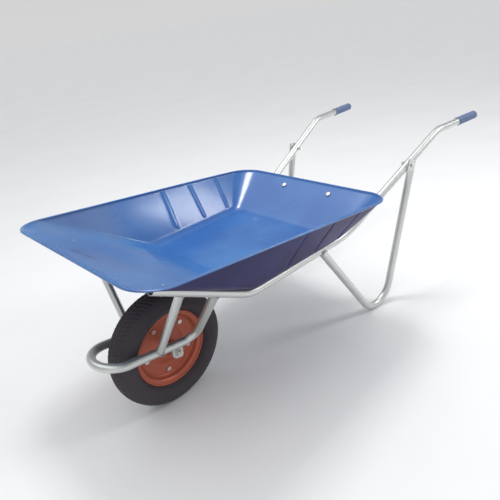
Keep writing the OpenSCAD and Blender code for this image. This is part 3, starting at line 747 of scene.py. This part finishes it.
def tidy_normals(piece: bpy.types.Object, merge: float = 1e-6) -> None:
    """Merge doubles and turn every face outwards."""
    shape = bmesh.new()
    shape.from_mesh(piece.data)
    bmesh.ops.remove_doubles(shape, verts=shape.verts, dist=merge)
    bmesh.ops.recalc_face_normals(shape, faces=shape.faces)
    shape.to_mesh(piece.data)
    shape.free()


def hand_over(piece: bpy.types.Object, body: str, replaced: Sequence[str] = ()) -> None:
    """Tell the frame what a finished piece rides on and stands for.

    Args:
        piece: the finished piece.
        body: the CAD body that it moves with.
        replaced: the CAD nodes that it stands for.
    """
    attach(piece, body)
    if replaced:
        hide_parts(*replaced)
    LOG.info("%s rides on %s, %d faces", piece.name, body, len(piece.data.polygons))


def mirrored(place: Sequence[float], side: Side) -> Vector:
    """A point of the right-hand side, or its mirror image on the left."""
    return Vector((place[0], place[1] * side.value, place[2]))


def lerp(first: Vector, last: Vector, share: float) -> Vector:
    """Point part of the way from first to last."""
    return first + (last - first) * share


def bezier(first: Vector, middle: Vector, last: Vector, share: float) -> Vector:
    """Point on the curve that leaves first towards middle and arrives at last."""
    return lerp(lerp(first, middle, share), lerp(middle, last, share), share)


# ---------------------------------------------------------------- tray


@dataclass
class PressedTray:
    """The tray: one pressed sheet whose rim is rolled round a wire."""

    length: float = 0.905
    width: float = 0.640
    front_x: float = -0.202
    front_z: float = 0.568
    tilt: float = math.radians(7.2)
    floor_front: float = 0.163
    floor_length: float = 0.378
    floor_width: float = 0.464
    floor_z: float = 0.364
    floor_fall: float = math.radians(1.3)
    rim_radius: float = 0.082
    floor_radius: float = 0.024
    sheet: float = 0.0012
    bead_radius: float = 0.0042
    fold_inset: float = 0.018
    fold_share: float = 0.13
    rib_depth: float = 0.0028
    rib_width: float = 0.019
    rib_tops: tuple[float, ...] = (0.500, 0.614, 0.735)
    rib_feet: tuple[float, ...] = (0.112, 0.234, 0.343)
    rib_end: float = 0.965
    rib_fade: float = 0.05
    wall_end: float = 0.985
    wave_height: float = 0.0004
    side_steps: int = 220
    end_steps: int = 60
    corner_steps: int = 14
    wall_steps: int = 26
    fold_steps: int = 9
    curl_steps: int = 12
    floor_rings: int = 9

    def build(self) -> bpy.types.Object:
        """Build the sheet, give it its thickness and dress both faces.

        Returns:
            The finished tray.
        """
        rows = self._rows()
        count = len(rows[0])
        points = [p for row in rows for p in row]
        faces = []
        for k in range(len(rows) - 1):
            for i in range(count):
                j = (i + 1) % count
                faces.append((k * count + i, (k + 1) * count + i, (k + 1) * count + j, k * count + j))
        faces.append(tuple(range(count)))
        sheet = new_object("tray_sheet", points, faces)
        wear = sheet.data.attributes.new(LIP_WEAR, "FLOAT", "POINT")
        worn_from = (len(rows) - self.curl_steps - 2) * count
        wear.data.foreach_set("value", [float(n >= worn_from) for n in range(len(points))])
        sheet.data.materials.append(TrayEnamel().made())
        sheet.data.materials.append(ShadedTrayUnderside().made())
        wall = sheet.modifiers.new("wall", "SOLIDIFY")
        wall.thickness = self.sheet
        wall.offset = -1.0
        wall.material_offset = 1
        wall.material_offset_rim = 1
        return settled(sheet, "pressed_tray")

    def _outline(self, length: float, width: float, radius: float) -> list[tuple[float, float, float]]:
        """Rounded rectangle from x = 0 to length.

        Args:
            length: its size along X.
            width: its size along Y.
            radius: its corners' radius.

        Returns:
            x, y and the outward angle of each point, counter-clockwise from the front.
        """
        half = width / 2
        corners = (
            (radius, -half + radius, math.pi, self.side_steps),
            (length - radius, -half + radius, 1.5 * math.pi, self.end_steps),
            (length - radius, half - radius, 0.0, self.side_steps),
            (radius, half - radius, 0.5 * math.pi, self.end_steps),
        )
        points = []
        for number, (x, y, angle, straight) in enumerate(corners):
            for i in range(self.corner_steps + 1):
                a = angle + 0.5 * math.pi * i / self.corner_steps
                points.append((x + radius * math.cos(a), y + radius * math.sin(a), a))
            x0, y0, a0 = points[-1]
            nx, ny, next_angle, _ = corners[(number + 1) % 4]
            x1, y1 = nx + radius * math.cos(next_angle), ny + radius * math.sin(next_angle)
            for i in range(1, straight):
                share = i / straight
                points.append((x0 + (x1 - x0) * share, y0 + (y1 - y0) * share, a0))
        return points

    def _rim_point(self, x: float, y: float) -> Vector:
        """A point of the rim's plane."""
        down = x * math.sin(self.tilt)
        return Vector((x * math.cos(self.tilt) + self.front_x + AXLE_X, y, self.front_z - down))

    def _floor_point(self, x: float, y: float) -> Vector:
        """A point of the flat bottom's inside face."""
        z = self.floor_z - x * math.tan(self.floor_fall) + self.sheet
        return Vector((x + self.floor_front + AXLE_X, y, z))

    def _inset(self, place: tuple[float, float, float]) -> tuple[float, float]:
        """Where the flat bottom ends, inwards from a point of its fold line."""
        x, y, angle = place
        return x - self.fold_inset * math.cos(angle), y - self.fold_inset * math.sin(angle)

    def _rib(self, place_x: float, share: float) -> float:
        """How far a side wall is pressed inwards.

        Args:
            place_x: the place along the barrow.
            share: the place up the wall, from 0 at the fold to 1 at the rim.

        Returns:
            A share of the rib's depth.
        """
        pressed = 0.0
        for top, foot in zip(self.rib_tops, self.rib_feet):
            foot_x, top_x = self._floor_point(foot, 0.0).x, self._rim_point(top, 0.0).x
            off = abs(place_x - foot_x - (top_x - foot_x) * share) / (self.rib_width / 2)
            if off < 1.0:
                pressed = max(pressed, (1.0 - off * off) ** 2)
        return pressed

    def _rows(self) -> list[list[Vector]]:
        """The sheet's points, row by row from the middle of the floor to the end of the curl.

        Returns:
            Closed rows with the same number of points.
        """
        rim = self._outline(self.length, self.width, self.rim_radius)
        foot = self._outline(self.floor_length, self.floor_width, self.floor_radius)
        rows = self._floor_rows(foot)
        outward = [Vector((math.cos(a), math.sin(a), 0.0)) for _, _, a in rim]
        starts = [self._floor_point(*self._inset(place)) for place in foot]
        bends = [self._floor_point(x, y) for x, y, _ in foot]
        tops = [self._rim_point(x, y) for x, y, _ in rim]
        slopes = [(top - bend).normalized() for top, bend in zip(tops, bends)]
        ends = [lerp(b, t, self.fold_share) for b, t in zip(bends, tops)]
        for k in range(self.fold_steps + 1):
            share = k / self.fold_steps
            rows.append([bezier(s, b, e, share) for s, b, e in zip(starts, bends, ends)])
        on_side = [abs(math.sin(a)) > 0.999 for _, _, a in rim]
        for k in range(1, self.wall_steps + 1):
            share = self.fold_share + (self.wall_end - self.fold_share) * k / self.wall_steps
            fade_in = min(1.0, (share - self.fold_share) / self.rib_fade)
            fade = fade_in * min(1.0, max(0.0, (self.rib_end - share) / self.rib_fade))
            row = []
            for b, t, out, side in zip(bends, tops, outward, on_side):
                point = lerp(b, t, share)
                pressed = self._rib(point.x, share) if side else 0.0
                row.append(point - out * (self.rib_depth * pressed * fade))
            rows.append(row)
        for k in range(self.curl_steps + 1):
            rows.append([self._curl(t, out, up, k) for t, out, up in zip(tops, outward, slopes)])
        return rows

    def _floor_rows(self, foot: list[tuple[float, float, float]]) -> list[list[Vector]]:
        """Rings of the flat bottom, with the slight waviness of pressed sheet.

        Args:
            foot: the flat bottom's outline.

        Returns:
            One row for each ring, from the middle outwards.
        """
        rows = []
        middle = self.floor_length / 2
        for k in range(1, self.floor_rings + 1):
            share = k / (self.floor_rings + 1)
            row = []
            for place in foot:
                x, y = self._inset(place)
                point = self._floor_point(middle + (x - middle) * share, y * share)
                wave = math.sin(9.0 * point.x + 1.0) * math.cos(11.0 * point.y)
                wave *= math.sin(math.pi * share)
                row.append(point + Vector((0.0, 0.0, self.wave_height * wave)))
            rows.append(row)
        return rows

    def _curl(self, top: Vector, outward: Vector, slope: Vector, step: int) -> Vector:
        """A point of the rim's curl.

        Args:
            top: the wire's middle at this place of the rim.
            outward: the level direction away from the tray.
            slope: the direction up the wall.
            step: the place along the curl.

        Returns:
            The point.
        """
        side = (outward - slope * outward.dot(slope)).normalized()
        angle = math.pi - (1.5 * math.pi) * step / self.curl_steps
        return top + (side * math.cos(angle) + slope * math.sin(angle)) * self.bead_radius


# ---------------------------------------------------------------- geometry node tools


class ShapeBench(Bench):
    """A Geometry Nodes tree with named inputs, made and used on one object."""

    def __init__(self, name: str) -> None:
        """Start an empty tree that takes and gives a geometry.

        Args:
            name: the tree's name.
        """
        super().__init__(bpy.data.node_groups.new(name, "GeometryNodeTree"))
        self.tree.interface.new_socket("Geometry", in_out="INPUT", socket_type="NodeSocketGeometry")
        self.tree.interface.new_socket("Geometry", in_out="OUTPUT", socket_type="NodeSocketGeometry")
        self.door = self.tree.nodes.new("NodeGroupInput")
        self.sizes: dict[str, object] = {}

    def size(self, name: str, value: object, kind: str = "NodeSocketFloat") -> Wire:
        """Add a named input with its value.

        Args:
            name: the input's name.
            value: what the modifier sets it to.
            kind: the socket's type.

        Returns:
            The input as a wire.
        """
        socket = self.tree.interface.new_socket(name, in_out="INPUT", socket_type=kind)
        self.sizes[socket.identifier] = value
        found = [s for s in self.door.outputs if s.identifier == socket.identifier]
        return Wire(self, found[0])

    def incoming(self) -> Wire:
        """The geometry of the object that the tree is used on."""
        return Wire(self, self.door.outputs[0])

    def combine(self, x: object, y: object, z: object) -> Wire:
        """A vector from three values."""
        return self.add("ShaderNodeCombineXYZ", {}, {0: x, 1: y, 2: z})

    def split(self, vector: Wire) -> tuple[Wire, Wire, Wire]:
        """The three values of a vector."""
        node = self.add("ShaderNodeSeparateXYZ", {}, {0: vector}).socket.node
        return tuple(Wire(self, s) for s in node.outputs)

    def vector(self, operation: str, first: object, second: object = (0.0, 0.0, 0.0)) -> Wire:
        """Vector Math on two vectors."""
        return self.add("ShaderNodeVectorMath", {"operation": operation}, {0: first, 1: second})

    def finish(self, geometry: Wire, material: bpy.types.Material, target: bpy.types.Object) -> None:
        """End in Realize Instances and Set Material, and put the tree on an object.

        Args:
            geometry: what the tree has made.
            material: its material.
            target: the object that gets the modifier.
        """
        whole = self.add("GeometryNodeRealizeInstances", {}, {"Geometry": geometry})
        smooth = self.add("GeometryNodeSetShadeSmooth", {}, {0: whole})
        painted = self.add("GeometryNodeSetMaterial", {}, {"Geometry": smooth, "Material": material})
        output = self.tree.nodes.new("NodeGroupOutput")
        self.plug(output.inputs[0], painted)
        modifier = target.modifiers.new(self.tree.name, "NODES")
        modifier.node_group = self.tree
        for identifier, value in self.sizes.items():
            modifier[identifier] = value


# ---------------------------------------------------------------- wheel


@dataclass(frozen=True)
class BlockRow:
    """One row of tread blocks: where it runs, and its blocks' shape."""

    across: float
    wide: float
    share: float
    phase: float
    slant: float


@dataclass
class TyreMaker:
    """The tyre: a revolved casing with a moulded block tread and sidewall ribs."""

    middle: Vector = field(default_factory=lambda: Vector((AXLE_X, 0.0, AXLE_Z)))
    outside: float = 0.180
    width: float = 0.092
    lug_depth: float = 0.0011
    crown_fall: float = 7.4
    crown_half: float = 0.031
    blocks_round: int = 84
    block_root: float = 1.6
    block_taper: float = 0.16
    worn_depth: float = 0.0004
    worn_patches: float = 60.0
    block_rows: tuple[BlockRow, ...] = (
        BlockRow(0.0000, 0.0122, 0.84, 0.00, 0.62),
        BlockRow(0.0136, 0.0124, 0.82, 0.50, -0.66),
        BlockRow(-0.0136, 0.0124, 0.82, 0.50, 0.66),
        BlockRow(0.0258, 0.0094, 0.74, 0.05, -0.55),
        BlockRow(-0.0258, 0.0094, 0.74, 0.05, 0.55),
    )
    crown_points: int = 10
    around: int = 192

    def casing_line(self) -> list[tuple[float, float]]:
        """Half of the casing's section.

        Returns:
            Radius and distance from the middle plane, from bead to crown.
        """
        r, w = self.outside, self.width / 2
        return [
            (0.1022, 0.0107), (0.1022, 0.0158), (0.1052, 0.0185), (0.1092, 0.0194), (0.1172, 0.0194),
            (0.1174, 0.0260), (0.1200, 0.0292), (0.1228, 0.0362), (0.1268, w - 0.0045),
            (0.1275, w - 0.0046), (0.1290, w - 0.0027), (0.1300, w - 0.0028), (0.1330, w - 0.0004),
            (0.1400, w), (0.1460, w - 0.0006), (0.1468, w - 0.0014), (0.1520, w - 0.0026),
            (0.1580, w - 0.0046), (0.1635, w - 0.0082), (0.1680, w - 0.0118),
        ] + [
            (r - self.lug_depth - self.crown_fall * v * v, v)
            for v in np.linspace(self.crown_half, 0.0, self.crown_points)
        ]

    def build(self) -> bpy.types.Object:
        """Revolve the casing, wrap the tread on it and join the two.

        Returns:
            The finished tyre.
        """
        half = self.casing_line()
        line = half + [(radius, -off) for radius, off in reversed(half[:-1])]
        casing = revolved("tyre_casing", line, self.middle, self.around, closed=True)
        tidy_normals(casing)
        casing.data.materials.append(TyreRubber().made())
        return joined([casing, self._tread()], "tyre_with_tread")

    def _tread(self) -> bpy.types.Object:
        """The blocks, laid out flat and wrapped round the crown.

        Returns:
            The tread as a plain mesh.
        """
        bench = ShapeBench("tread_blocks")
        count = bench.size("Blocks round", self.blocks_round, "NodeSocketInt")
        crown = bench.size("Crown radius", self.outside)
        depth = bench.size("Block depth", self.lug_depth)
        hollow = bench.size("Crown fall", self.crown_fall)
        middle = bench.size("Wheel centre", tuple(self.middle), "NodeSocketVector")
        pitch = math.tau * self.outside / self.blocks_round
        strips = [self._block_row(bench, count, pitch, row) for row in self.block_rows]
        flat = bench.add("GeometryNodeJoinGeometry")
        for strip in strips:
            bench.plug(flat.socket.node.inputs[0], strip)
        whole = bench.add("GeometryNodeRealizeInstances", {}, {"Geometry": flat})
        u, v, h = bench.split(bench.add("GeometryNodeInputPosition"))
        angle = u / crown
        place = bench.add("GeometryNodeInputPosition")
        patches = {"Vector": place, "Scale": self.worn_patches, "Detail": 2.0}
        worn = bench.add("ShaderNodeTexNoise", {"noise_dimensions": "3D"}, patches, "Fac")
        radius = crown - hollow * v * v - depth * (1.0 - h) * self.block_root - worn * self.worn_depth
        ring = bench.combine(angle.apply("COSINE") * radius, v, angle.apply("SINE") * radius)
        moved = bench.vector("ADD", ring, middle)
        wrapped = bench.add("GeometryNodeSetPosition", {}, {"Geometry": whole, "Position": moved})
        seat = new_object("tread_seat", [], [])
        bench.finish(wrapped, TyreRubber().made(), seat)
        tread = settled(seat, "tyre_tread")
        tidy_normals(tread, 1e-7)
        return tread

    def _block_row(self, bench: ShapeBench, count: Wire, pitch: float, row: BlockRow) -> Wire:
        """One row of slanting blocks, laid flat with their height from 0 to 1.

        Args:
            bench: the tree.
            count: number of blocks.
            pitch: distance between blocks along the tread.
            row: the row's place and its blocks' shape.

        Returns:
            The blocks as instances.
        """
        size = (pitch * row.share, row.wide, 1.0)
        grid = {"Size": size, "Vertices X": 3, "Vertices Y": 3, "Vertices Z": 2}
        block = bench.add("GeometryNodeMeshCube", {}, grid)
        x, y, z = bench.split(bench.add("GeometryNodeInputPosition"))
        top = z.apply("GREATER_THAN", 0.0)
        narrow = 1.0 - self.block_taper * top
        skew = x * narrow + y * row.slant
        raised = bench.combine(skew, y * narrow, z + 0.5)
        shaped = bench.add("GeometryNodeSetPosition", {}, {"Geometry": block, "Position": raised})
        start, step = (pitch * row.phase, row.across, 0.0), (pitch, 0.0, 0.0)
        line = bench.add(
            "GeometryNodeMeshLine", {"mode": "OFFSET"},
            {"Count": count, "Start Location": start, "Offset": step},
        )
        return bench.add("GeometryNodeInstanceOnPoints", {}, {"Points": line, "Instance": shaped})


def revolved(
    name: str, line: Sequence[tuple[float, float]], middle: Vector, steps: int, closed: bool,
    axis: Vector = Vector((0.0, 1.0, 0.0)),
) -> bpy.types.Object:
    """Revolve a section round an axis.

    Args:
        name: the piece's name.
        line: radius and distance along the axis of each point of the section.
        middle: a point of the axis.
        steps: number of steps round.
        closed: whether the section's last point joins its first.
        axis: the axis' direction.

    Returns:
        The revolved mesh.
    """
    along = axis.normalized()
    across = along.orthogonal().normalized()
    third = along.cross(across)
    points = []
    for i in range(steps):
        a = math.tau * i / steps
        spoke = across * math.cos(a) + third * math.sin(a)
        points += [middle + spoke * radius + along * off for radius, off in line]
    count = len(line)
    last = count if closed else count - 1
    faces = []
    for i in range(steps):
        j = (i + 1) % steps
        for k in range(last):
            m = (k + 1) % count
            faces.append((i * count + k, i * count + m, j * count + m, j * count + k))
    return new_object(name, points, faces)


def joined(pieces: Sequence[bpy.types.Object], name: str) -> bpy.types.Object:
    """Join plain meshes that share one place and finish.

    Args:
        pieces: the meshes, which are removed.
        name: the joined piece's name.

    Returns:
        The joined piece.
    """
    shape = bmesh.new()
    for piece in pieces:
        shape.from_mesh(piece.data)
    mesh = bpy.data.meshes.new(name)
    shape.to_mesh(mesh)
    shape.free()
    for material in pieces[0].data.materials:
        mesh.materials.append(material)
    for piece in pieces:
        bpy.data.objects.remove(piece)
    made = bpy.data.objects.new(name, mesh)
    bpy.context.scene.collection.objects.link(made)
    return made


# ---------------------------------------------------------------- grips


@dataclass
class HandGrip:
    """A moulded grip pushed on a handle's end: a ribbed barrel, a rounded end and a guard collar."""

    side: Side
    end: Vector = field(default_factory=lambda: Vector((0.78575, 0.284, 0.557)))
    bend: Vector = field(default_factory=lambda: Vector((0.52575, 0.266, 0.561)))
    length: float = 0.125
    radius: float = 0.0149
    collar: float = 0.0152
    dome: float = 0.36
    end_gap: float = 0.0004
    bore: float = 0.0127
    bore_end: float = 0.0055
    ribs: int = 14
    rib_height: float = 0.0007
    rib_steps: int = 8
    rib_start: float = 0.014
    rib_stop: float = 0.016
    swell: float = 0.0004
    around: int = 96

    def build(self) -> bpy.types.Object:
        """Revolve the grip about the handle's own line.

        Returns:
            The finished grip.
        """
        end, bend = mirrored(self.end, self.side), mirrored(self.bend, self.side)
        name = f"hand_grip_{self.side.name.lower()}"
        grip = revolved(name, self._section(), end, self.around, False, bend - end)
        tidy_normals(grip)
        grip.data.materials.append(GripPlastic().made())
        return grip

    def _section(self) -> list[tuple[float, float]]:
        """Radius and distance from the grip's end, outside first and then the bore.

        Returns:
            The section's points.
        """
        line = [(0.0, self.end_gap)]
        for a in np.linspace(0.12, math.pi / 2, 12):
            rise = self.radius * self.dome * (1.0 - math.cos(a))
            line.append((self.radius * math.sin(a), self.end_gap + rise))
        first, last = self.rib_start, self.length - self.rib_stop
        steps = self.ribs * self.rib_steps
        for i in range(steps + 1):
            off = first + (last - first) * i / steps
            wave = 0.5 - 0.5 * math.cos(math.tau * self.ribs * i / steps)
            swell = self.swell * math.sin(math.pi * i / steps)
            line.append((self.radius - self.swell + swell - self.rib_height * wave, off))
        return line + [
            (self.radius - 0.0006, self.length - 0.011), (self.collar - 0.0003, self.length - 0.006),
            (self.collar, self.length - 0.004), (self.collar, self.length - 0.0015),
            (self.collar - 0.0010, self.length), (self.bore, self.length),
            (self.bore, self.bore_end), (0.0, self.bore_end),
        ]


# ---------------------------------------------------------------- welds


@dataclass(frozen=True)
class TubeJoint:
    """A tube whose end is coped onto another tube, on the right-hand side."""

    name: str
    start: Place
    end: Place
    radius: float
    seat_from: Place
    seat_to: Place
    seat_radius: float = 0.0125

    def saddle(self, side: Side, steps: int) -> list[Vector]:
        """The closed line where the two tubes' skins meet.

        Args:
            side: which side of the barrow.
            steps: number of points.

        Returns:
            The line's points.
        """
        lines = (self.start, self.end, self.seat_from, self.seat_to)
        start, end, low, high = (mirrored(p, side) for p in lines)
        along = (end - start).normalized()
        seat = (high - low).normalized()
        across = along.orthogonal().normalized()
        third = along.cross(across)
        points = []
        for i in range(steps):
            a = math.tau * i / steps
            foot = start + (across * math.cos(a) + third * math.sin(a)) * self.radius
            off = foot - low
            off -= seat * off.dot(seat)
            run = along - seat * along.dot(seat)
            half_b, a2 = off.dot(run), run.length_squared
            root = half_b * half_b - a2 * (off.length_squared - self.seat_radius**2)
            points.append(foot + along * ((-half_b - math.sqrt(max(root, 0.0))) / a2))
        return points


# Corners of the right-hand tubes' centre lines.
RAIL_KNEE = (-0.398, 0.215, 0.35122)
RAIL_HEEL = (0.04175, 0.215, 0.34125)
RAIL_TIP = (-0.6817, 0.215, 0.50978)
GUARD_FOOT = (-0.49925, 0.067, 0.20636)
GUARD_TOP = (-0.50825, 0.213, 0.41084)
GUARD_FRONT = (-0.77325, 0.067, 0.25664)
LEG_BEND = (0.06, 0.2265, 0.12308)
LEG_TOP = (-0.08925, 0.217, 0.33822)
CROSS_MIDDLE = (-0.65225, 0.0, 0.49333)
CROSS_END = (-0.65225, 0.215, 0.49333)
STAY_FOOT = (-0.62025, 0.073, 0.23256)
STAY_TOP = (-0.60625, 0.212, 0.46362)


@dataclass
class WeldedJoints:
    """Weld beads round every coped tube end of the frame."""

    bead: float = 0.0019
    ripple: float = 0.00055
    ripples_per_metre: float = 430.0
    ring_steps: int = 9
    line_steps: int = 200
    steps: int = 72
    seed: float = 3.0
    joints: tuple[TubeJoint, ...] = (
        TubeJoint("leg_foot_joint", LEG_BEND, LEG_TOP, 0.0125, RAIL_KNEE, RAIL_HEEL),
        TubeJoint("guard_top_joint", GUARD_FOOT, GUARD_TOP, 0.0125, RAIL_KNEE, RAIL_TIP),
        TubeJoint("stay_top_joint", STAY_FOOT, STAY_TOP, 0.011, RAIL_KNEE, RAIL_TIP),
        TubeJoint("stay_foot_joint", STAY_TOP, STAY_FOOT, 0.011, GUARD_FOOT, GUARD_FRONT),
        TubeJoint("cross_tube_joint", CROSS_MIDDLE, CROSS_END, 0.0125, RAIL_KNEE, RAIL_TIP),
    )

    def build(self) -> list[bpy.types.Object]:
        """Lay a bead along every saddle line.

        Returns:
            One piece for each joint and side.
        """
        return [self._bead(joint, side) for joint in self.joints for side in Side]

    def _bead(self, joint: TubeJoint, side: Side) -> bpy.types.Object:
        """Sweep a rippled bead along one saddle line.

        Args:
            joint: the joint.
            side: which side of the barrow.

        Returns:
            The bead.
        """
        points = joint.saddle(side, self.steps)
        name = f"weld_{joint.name}_{side.name.lower()}"
        seat = new_object(name + "_line", [], [])
        edges = [(i, (i + 1) % len(points)) for i in range(len(points))]
        seat.data.from_pydata([tuple(p) for p in points], edges, [])
        bench = ShapeBench(name + "_tree")
        bead = bench.size("Bead radius", self.bead)
        ripple = bench.size("Ripple", self.ripple)
        seed = bench.size("Seed", self.seed + len(joint.name))
        line = bench.add("GeometryNodeMeshToCurve", {}, {0: bench.incoming()})
        fine = bench.add("GeometryNodeResampleCurve", {}, {"Curve": line, "Count": self.line_steps})
        ring = bench.add(
            "GeometryNodeCurvePrimitiveCircle", {"mode": "RADIUS"},
            {"Resolution": self.ring_steps, "Radius": bead},
        )
        run = bench.add("GeometryNodeSplineParameter", out="Length")
        swell = 1.0 + (run * (math.tau * self.ripples_per_metre)).apply("SINE") * 0.16
        thick = bench.add("GeometryNodeSetCurveRadius", {}, {"Curve": fine, "Radius": swell})
        sweep = {"Curve": thick, "Profile Curve": ring, "Scale": swell}
        body = bench.add("GeometryNodeCurveToMesh", {}, sweep)
        patches = {"W": seed, "Scale": 240.0, "Detail": 2.0}
        uneven = bench.add("ShaderNodeTexNoise", {"noise_dimensions": "4D"}, patches, "Fac")
        push = bench.vector("SCALE", bench.add("GeometryNodeInputNormal"))
        bench.plug(push.socket.node.inputs["Scale"], (uneven - 0.5) * ripple * 2.0)
        lumpy = bench.add("GeometryNodeSetPosition", {}, {"Geometry": body, "Offset": push})
        bench.finish(lumpy, WeldMetal().made(), seat)
        weld = settled(seat, name)
        tidy_normals(weld)
        return weld


# ---------------------------------------------------------------- studio


@dataclass(frozen=True)
class SoftLamp:
    """A soft rectangular lamp: where it hangs, what it faces, its size and its power."""

    name: str
    place: Place
    target: Place
    size: tuple[float, float]
    watts: float

    def hang(self) -> None:
        """Add the lamp to the scene."""
        light = bpy.data.lights.new(self.name, "AREA")
        light.shape = "RECTANGLE"
        light.size, light.size_y = self.size
        light.energy = self.watts
        lamp = bpy.data.objects.new(self.name, light)
        lamp.location = self.place
        facing = Vector(self.target) - Vector(self.place)
        lamp.rotation_euler = facing.to_track_quat("-Z", "Y").to_euler()
        bpy.context.scene.collection.objects.link(lamp)


@dataclass
class Studio:
    """Pale floor, soft lamps and the camera."""

    camera_place: Place = (-1.13545, -1.0619, 1.0488)
    camera_right: Place = (0.69976, -0.70490, -0.11600)
    camera_up: Place = (0.39550, 0.24704, 0.88463)
    lens: float = 35.575
    sensor_width: float = 36.0
    view_depth: float = 200.0
    floor_size: float = 60.0
    world_strength: float = 0.66
    world_tones: tuple[tuple[float, Colour], ...] = (
        (0.0, (1.0, 1.0, 1.0)), (0.10, (0.96, 0.965, 0.97)), (0.30, (0.50, 0.515, 0.54)),
        (0.62, (0.52, 0.535, 0.56)), (0.90, (0.95, 0.96, 0.98)),
    )
    sun_strength: float = 0.95
    sun_angle: float = math.radians(70.0)
    sun_turn: Place = (math.radians(-16.0), math.radians(-12.0), 0.0)
    lamps: tuple[SoftLamp, ...] = (
        SoftLamp("overhead_softbox", (0.02, 0.56, 2.8), (-0.02, 0.1, 0.3), (0.55, 0.7), 24.0),
        SoftLamp("window_side", (1.95, -1.74, 2.0), (-0.1, 0.25, 0.4), (0.8, 0.8), 22.0),
        SoftLamp("front_fill", (-2.6, -2.2, 2.4), (-0.1, 0.0, 0.3), (2.4, 2.0), 13.0),
    )

    def build(self) -> None:
        """Make the floor, the world, the lamps and the camera."""
        half = self.floor_size / 2
        corners = [(-half, -half, 0), (half, -half, 0), (half, half, 0), (-half, half, 0)]
        floor = new_object("studio_floor", corners, [(0, 1, 2, 3)], smooth=False)
        floor.data.materials.append(StudioFloor().made())
        self._world()
        self._sun()
        for lamp in self.lamps:
            lamp.hang()
        self._camera()

    def _world(self) -> None:
        """White surroundings, brighter overhead."""
        world = bpy.data.worlds.new("studio_world")
        world.use_nodes = True
        world.node_tree.nodes.clear()
        bench = Bench(world.node_tree)
        place = bench.add("ShaderNodeTexCoord", out="Generated")
        height = bench.add("ShaderNodeSeparateXYZ", {}, {0: place}, 2)
        tone = bench.add("ShaderNodeValToRGB", {"stops": self.world_tones}, {0: height})
        sky = bench.add("ShaderNodeBackground", {}, {"Color": tone, "Strength": self.world_strength})
        output = world.node_tree.nodes.new("ShaderNodeOutputWorld")
        bench.plug(output.inputs["Surface"], sky)
        bpy.context.scene.world = world

    def _sun(self) -> None:
        """Even, very soft light from high up, which keeps the floor pale right to the edges."""
        light = bpy.data.lights.new("sky_panel", "SUN")
        light.energy = self.sun_strength
        light.angle = self.sun_angle
        lamp = bpy.data.objects.new("sky_panel", light)
        lamp.rotation_euler = self.sun_turn
        bpy.context.scene.collection.objects.link(lamp)

    def _camera(self) -> None:
        """Add the camera, which leans a little to its side."""
        data = bpy.data.cameras.new("camera")
        data.lens = self.lens
        data.sensor_width = self.sensor_width
        data.clip_end = self.view_depth
        camera = bpy.data.objects.new("camera", data)
        right, up = Vector(self.camera_right).normalized(), Vector(self.camera_up).normalized()
        back = right.cross(up).normalized()
        turn = Matrix((right, up, back)).transposed().to_4x4()
        camera.matrix_world = Matrix.Translation(Vector(self.camera_place)) @ turn
        bpy.context.scene.collection.objects.link(camera)
        bpy.context.scene.camera = camera
        bpy.context.scene.view_settings.view_transform = "Standard"


# ---------------------------------------------------------------- whole barrow


@dataclass
class Wheelbarrow:
    """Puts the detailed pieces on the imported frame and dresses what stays."""

    frame: dict

    def build(self) -> None:
        """Build every piece in order."""
        self.dress_frame()
        hand_over(PressedTray().build(), "frame", ("tray",))
        hand_over(TyreMaker().build(), "wheel", ("tyre",))
        for side in Side:
            grip = f"grip_{side.name.lower()}"
            hand_over(HandGrip(side).build(), "frame", (grip,))
        for weld in WeldedJoints().build():
            hand_over(weld, "frame")

    def dress_frame(self) -> None:
        """Give every CAD node the finish of its slot."""
        for part in self.frame["record"]["subparts"]:
            piece = self.frame["nodes"][part["node"]]
            material = FINISHES[part["material_slot"]].made()
            slots = piece.data.materials
            if len(slots) == 0:
                slots.append(material)
            for i in range(len(slots)):
                slots[i] = material
            LOG.info("%s wears %s", piece.name, material.name)


def main() -> None:
    """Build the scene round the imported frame."""
    logging.basicConfig(level=logging.INFO, format="%(name)s: %(message)s")
    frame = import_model()
    Studio().build()
    Wheelbarrow(frame).build()


if __name__ == "__main__":
    main()
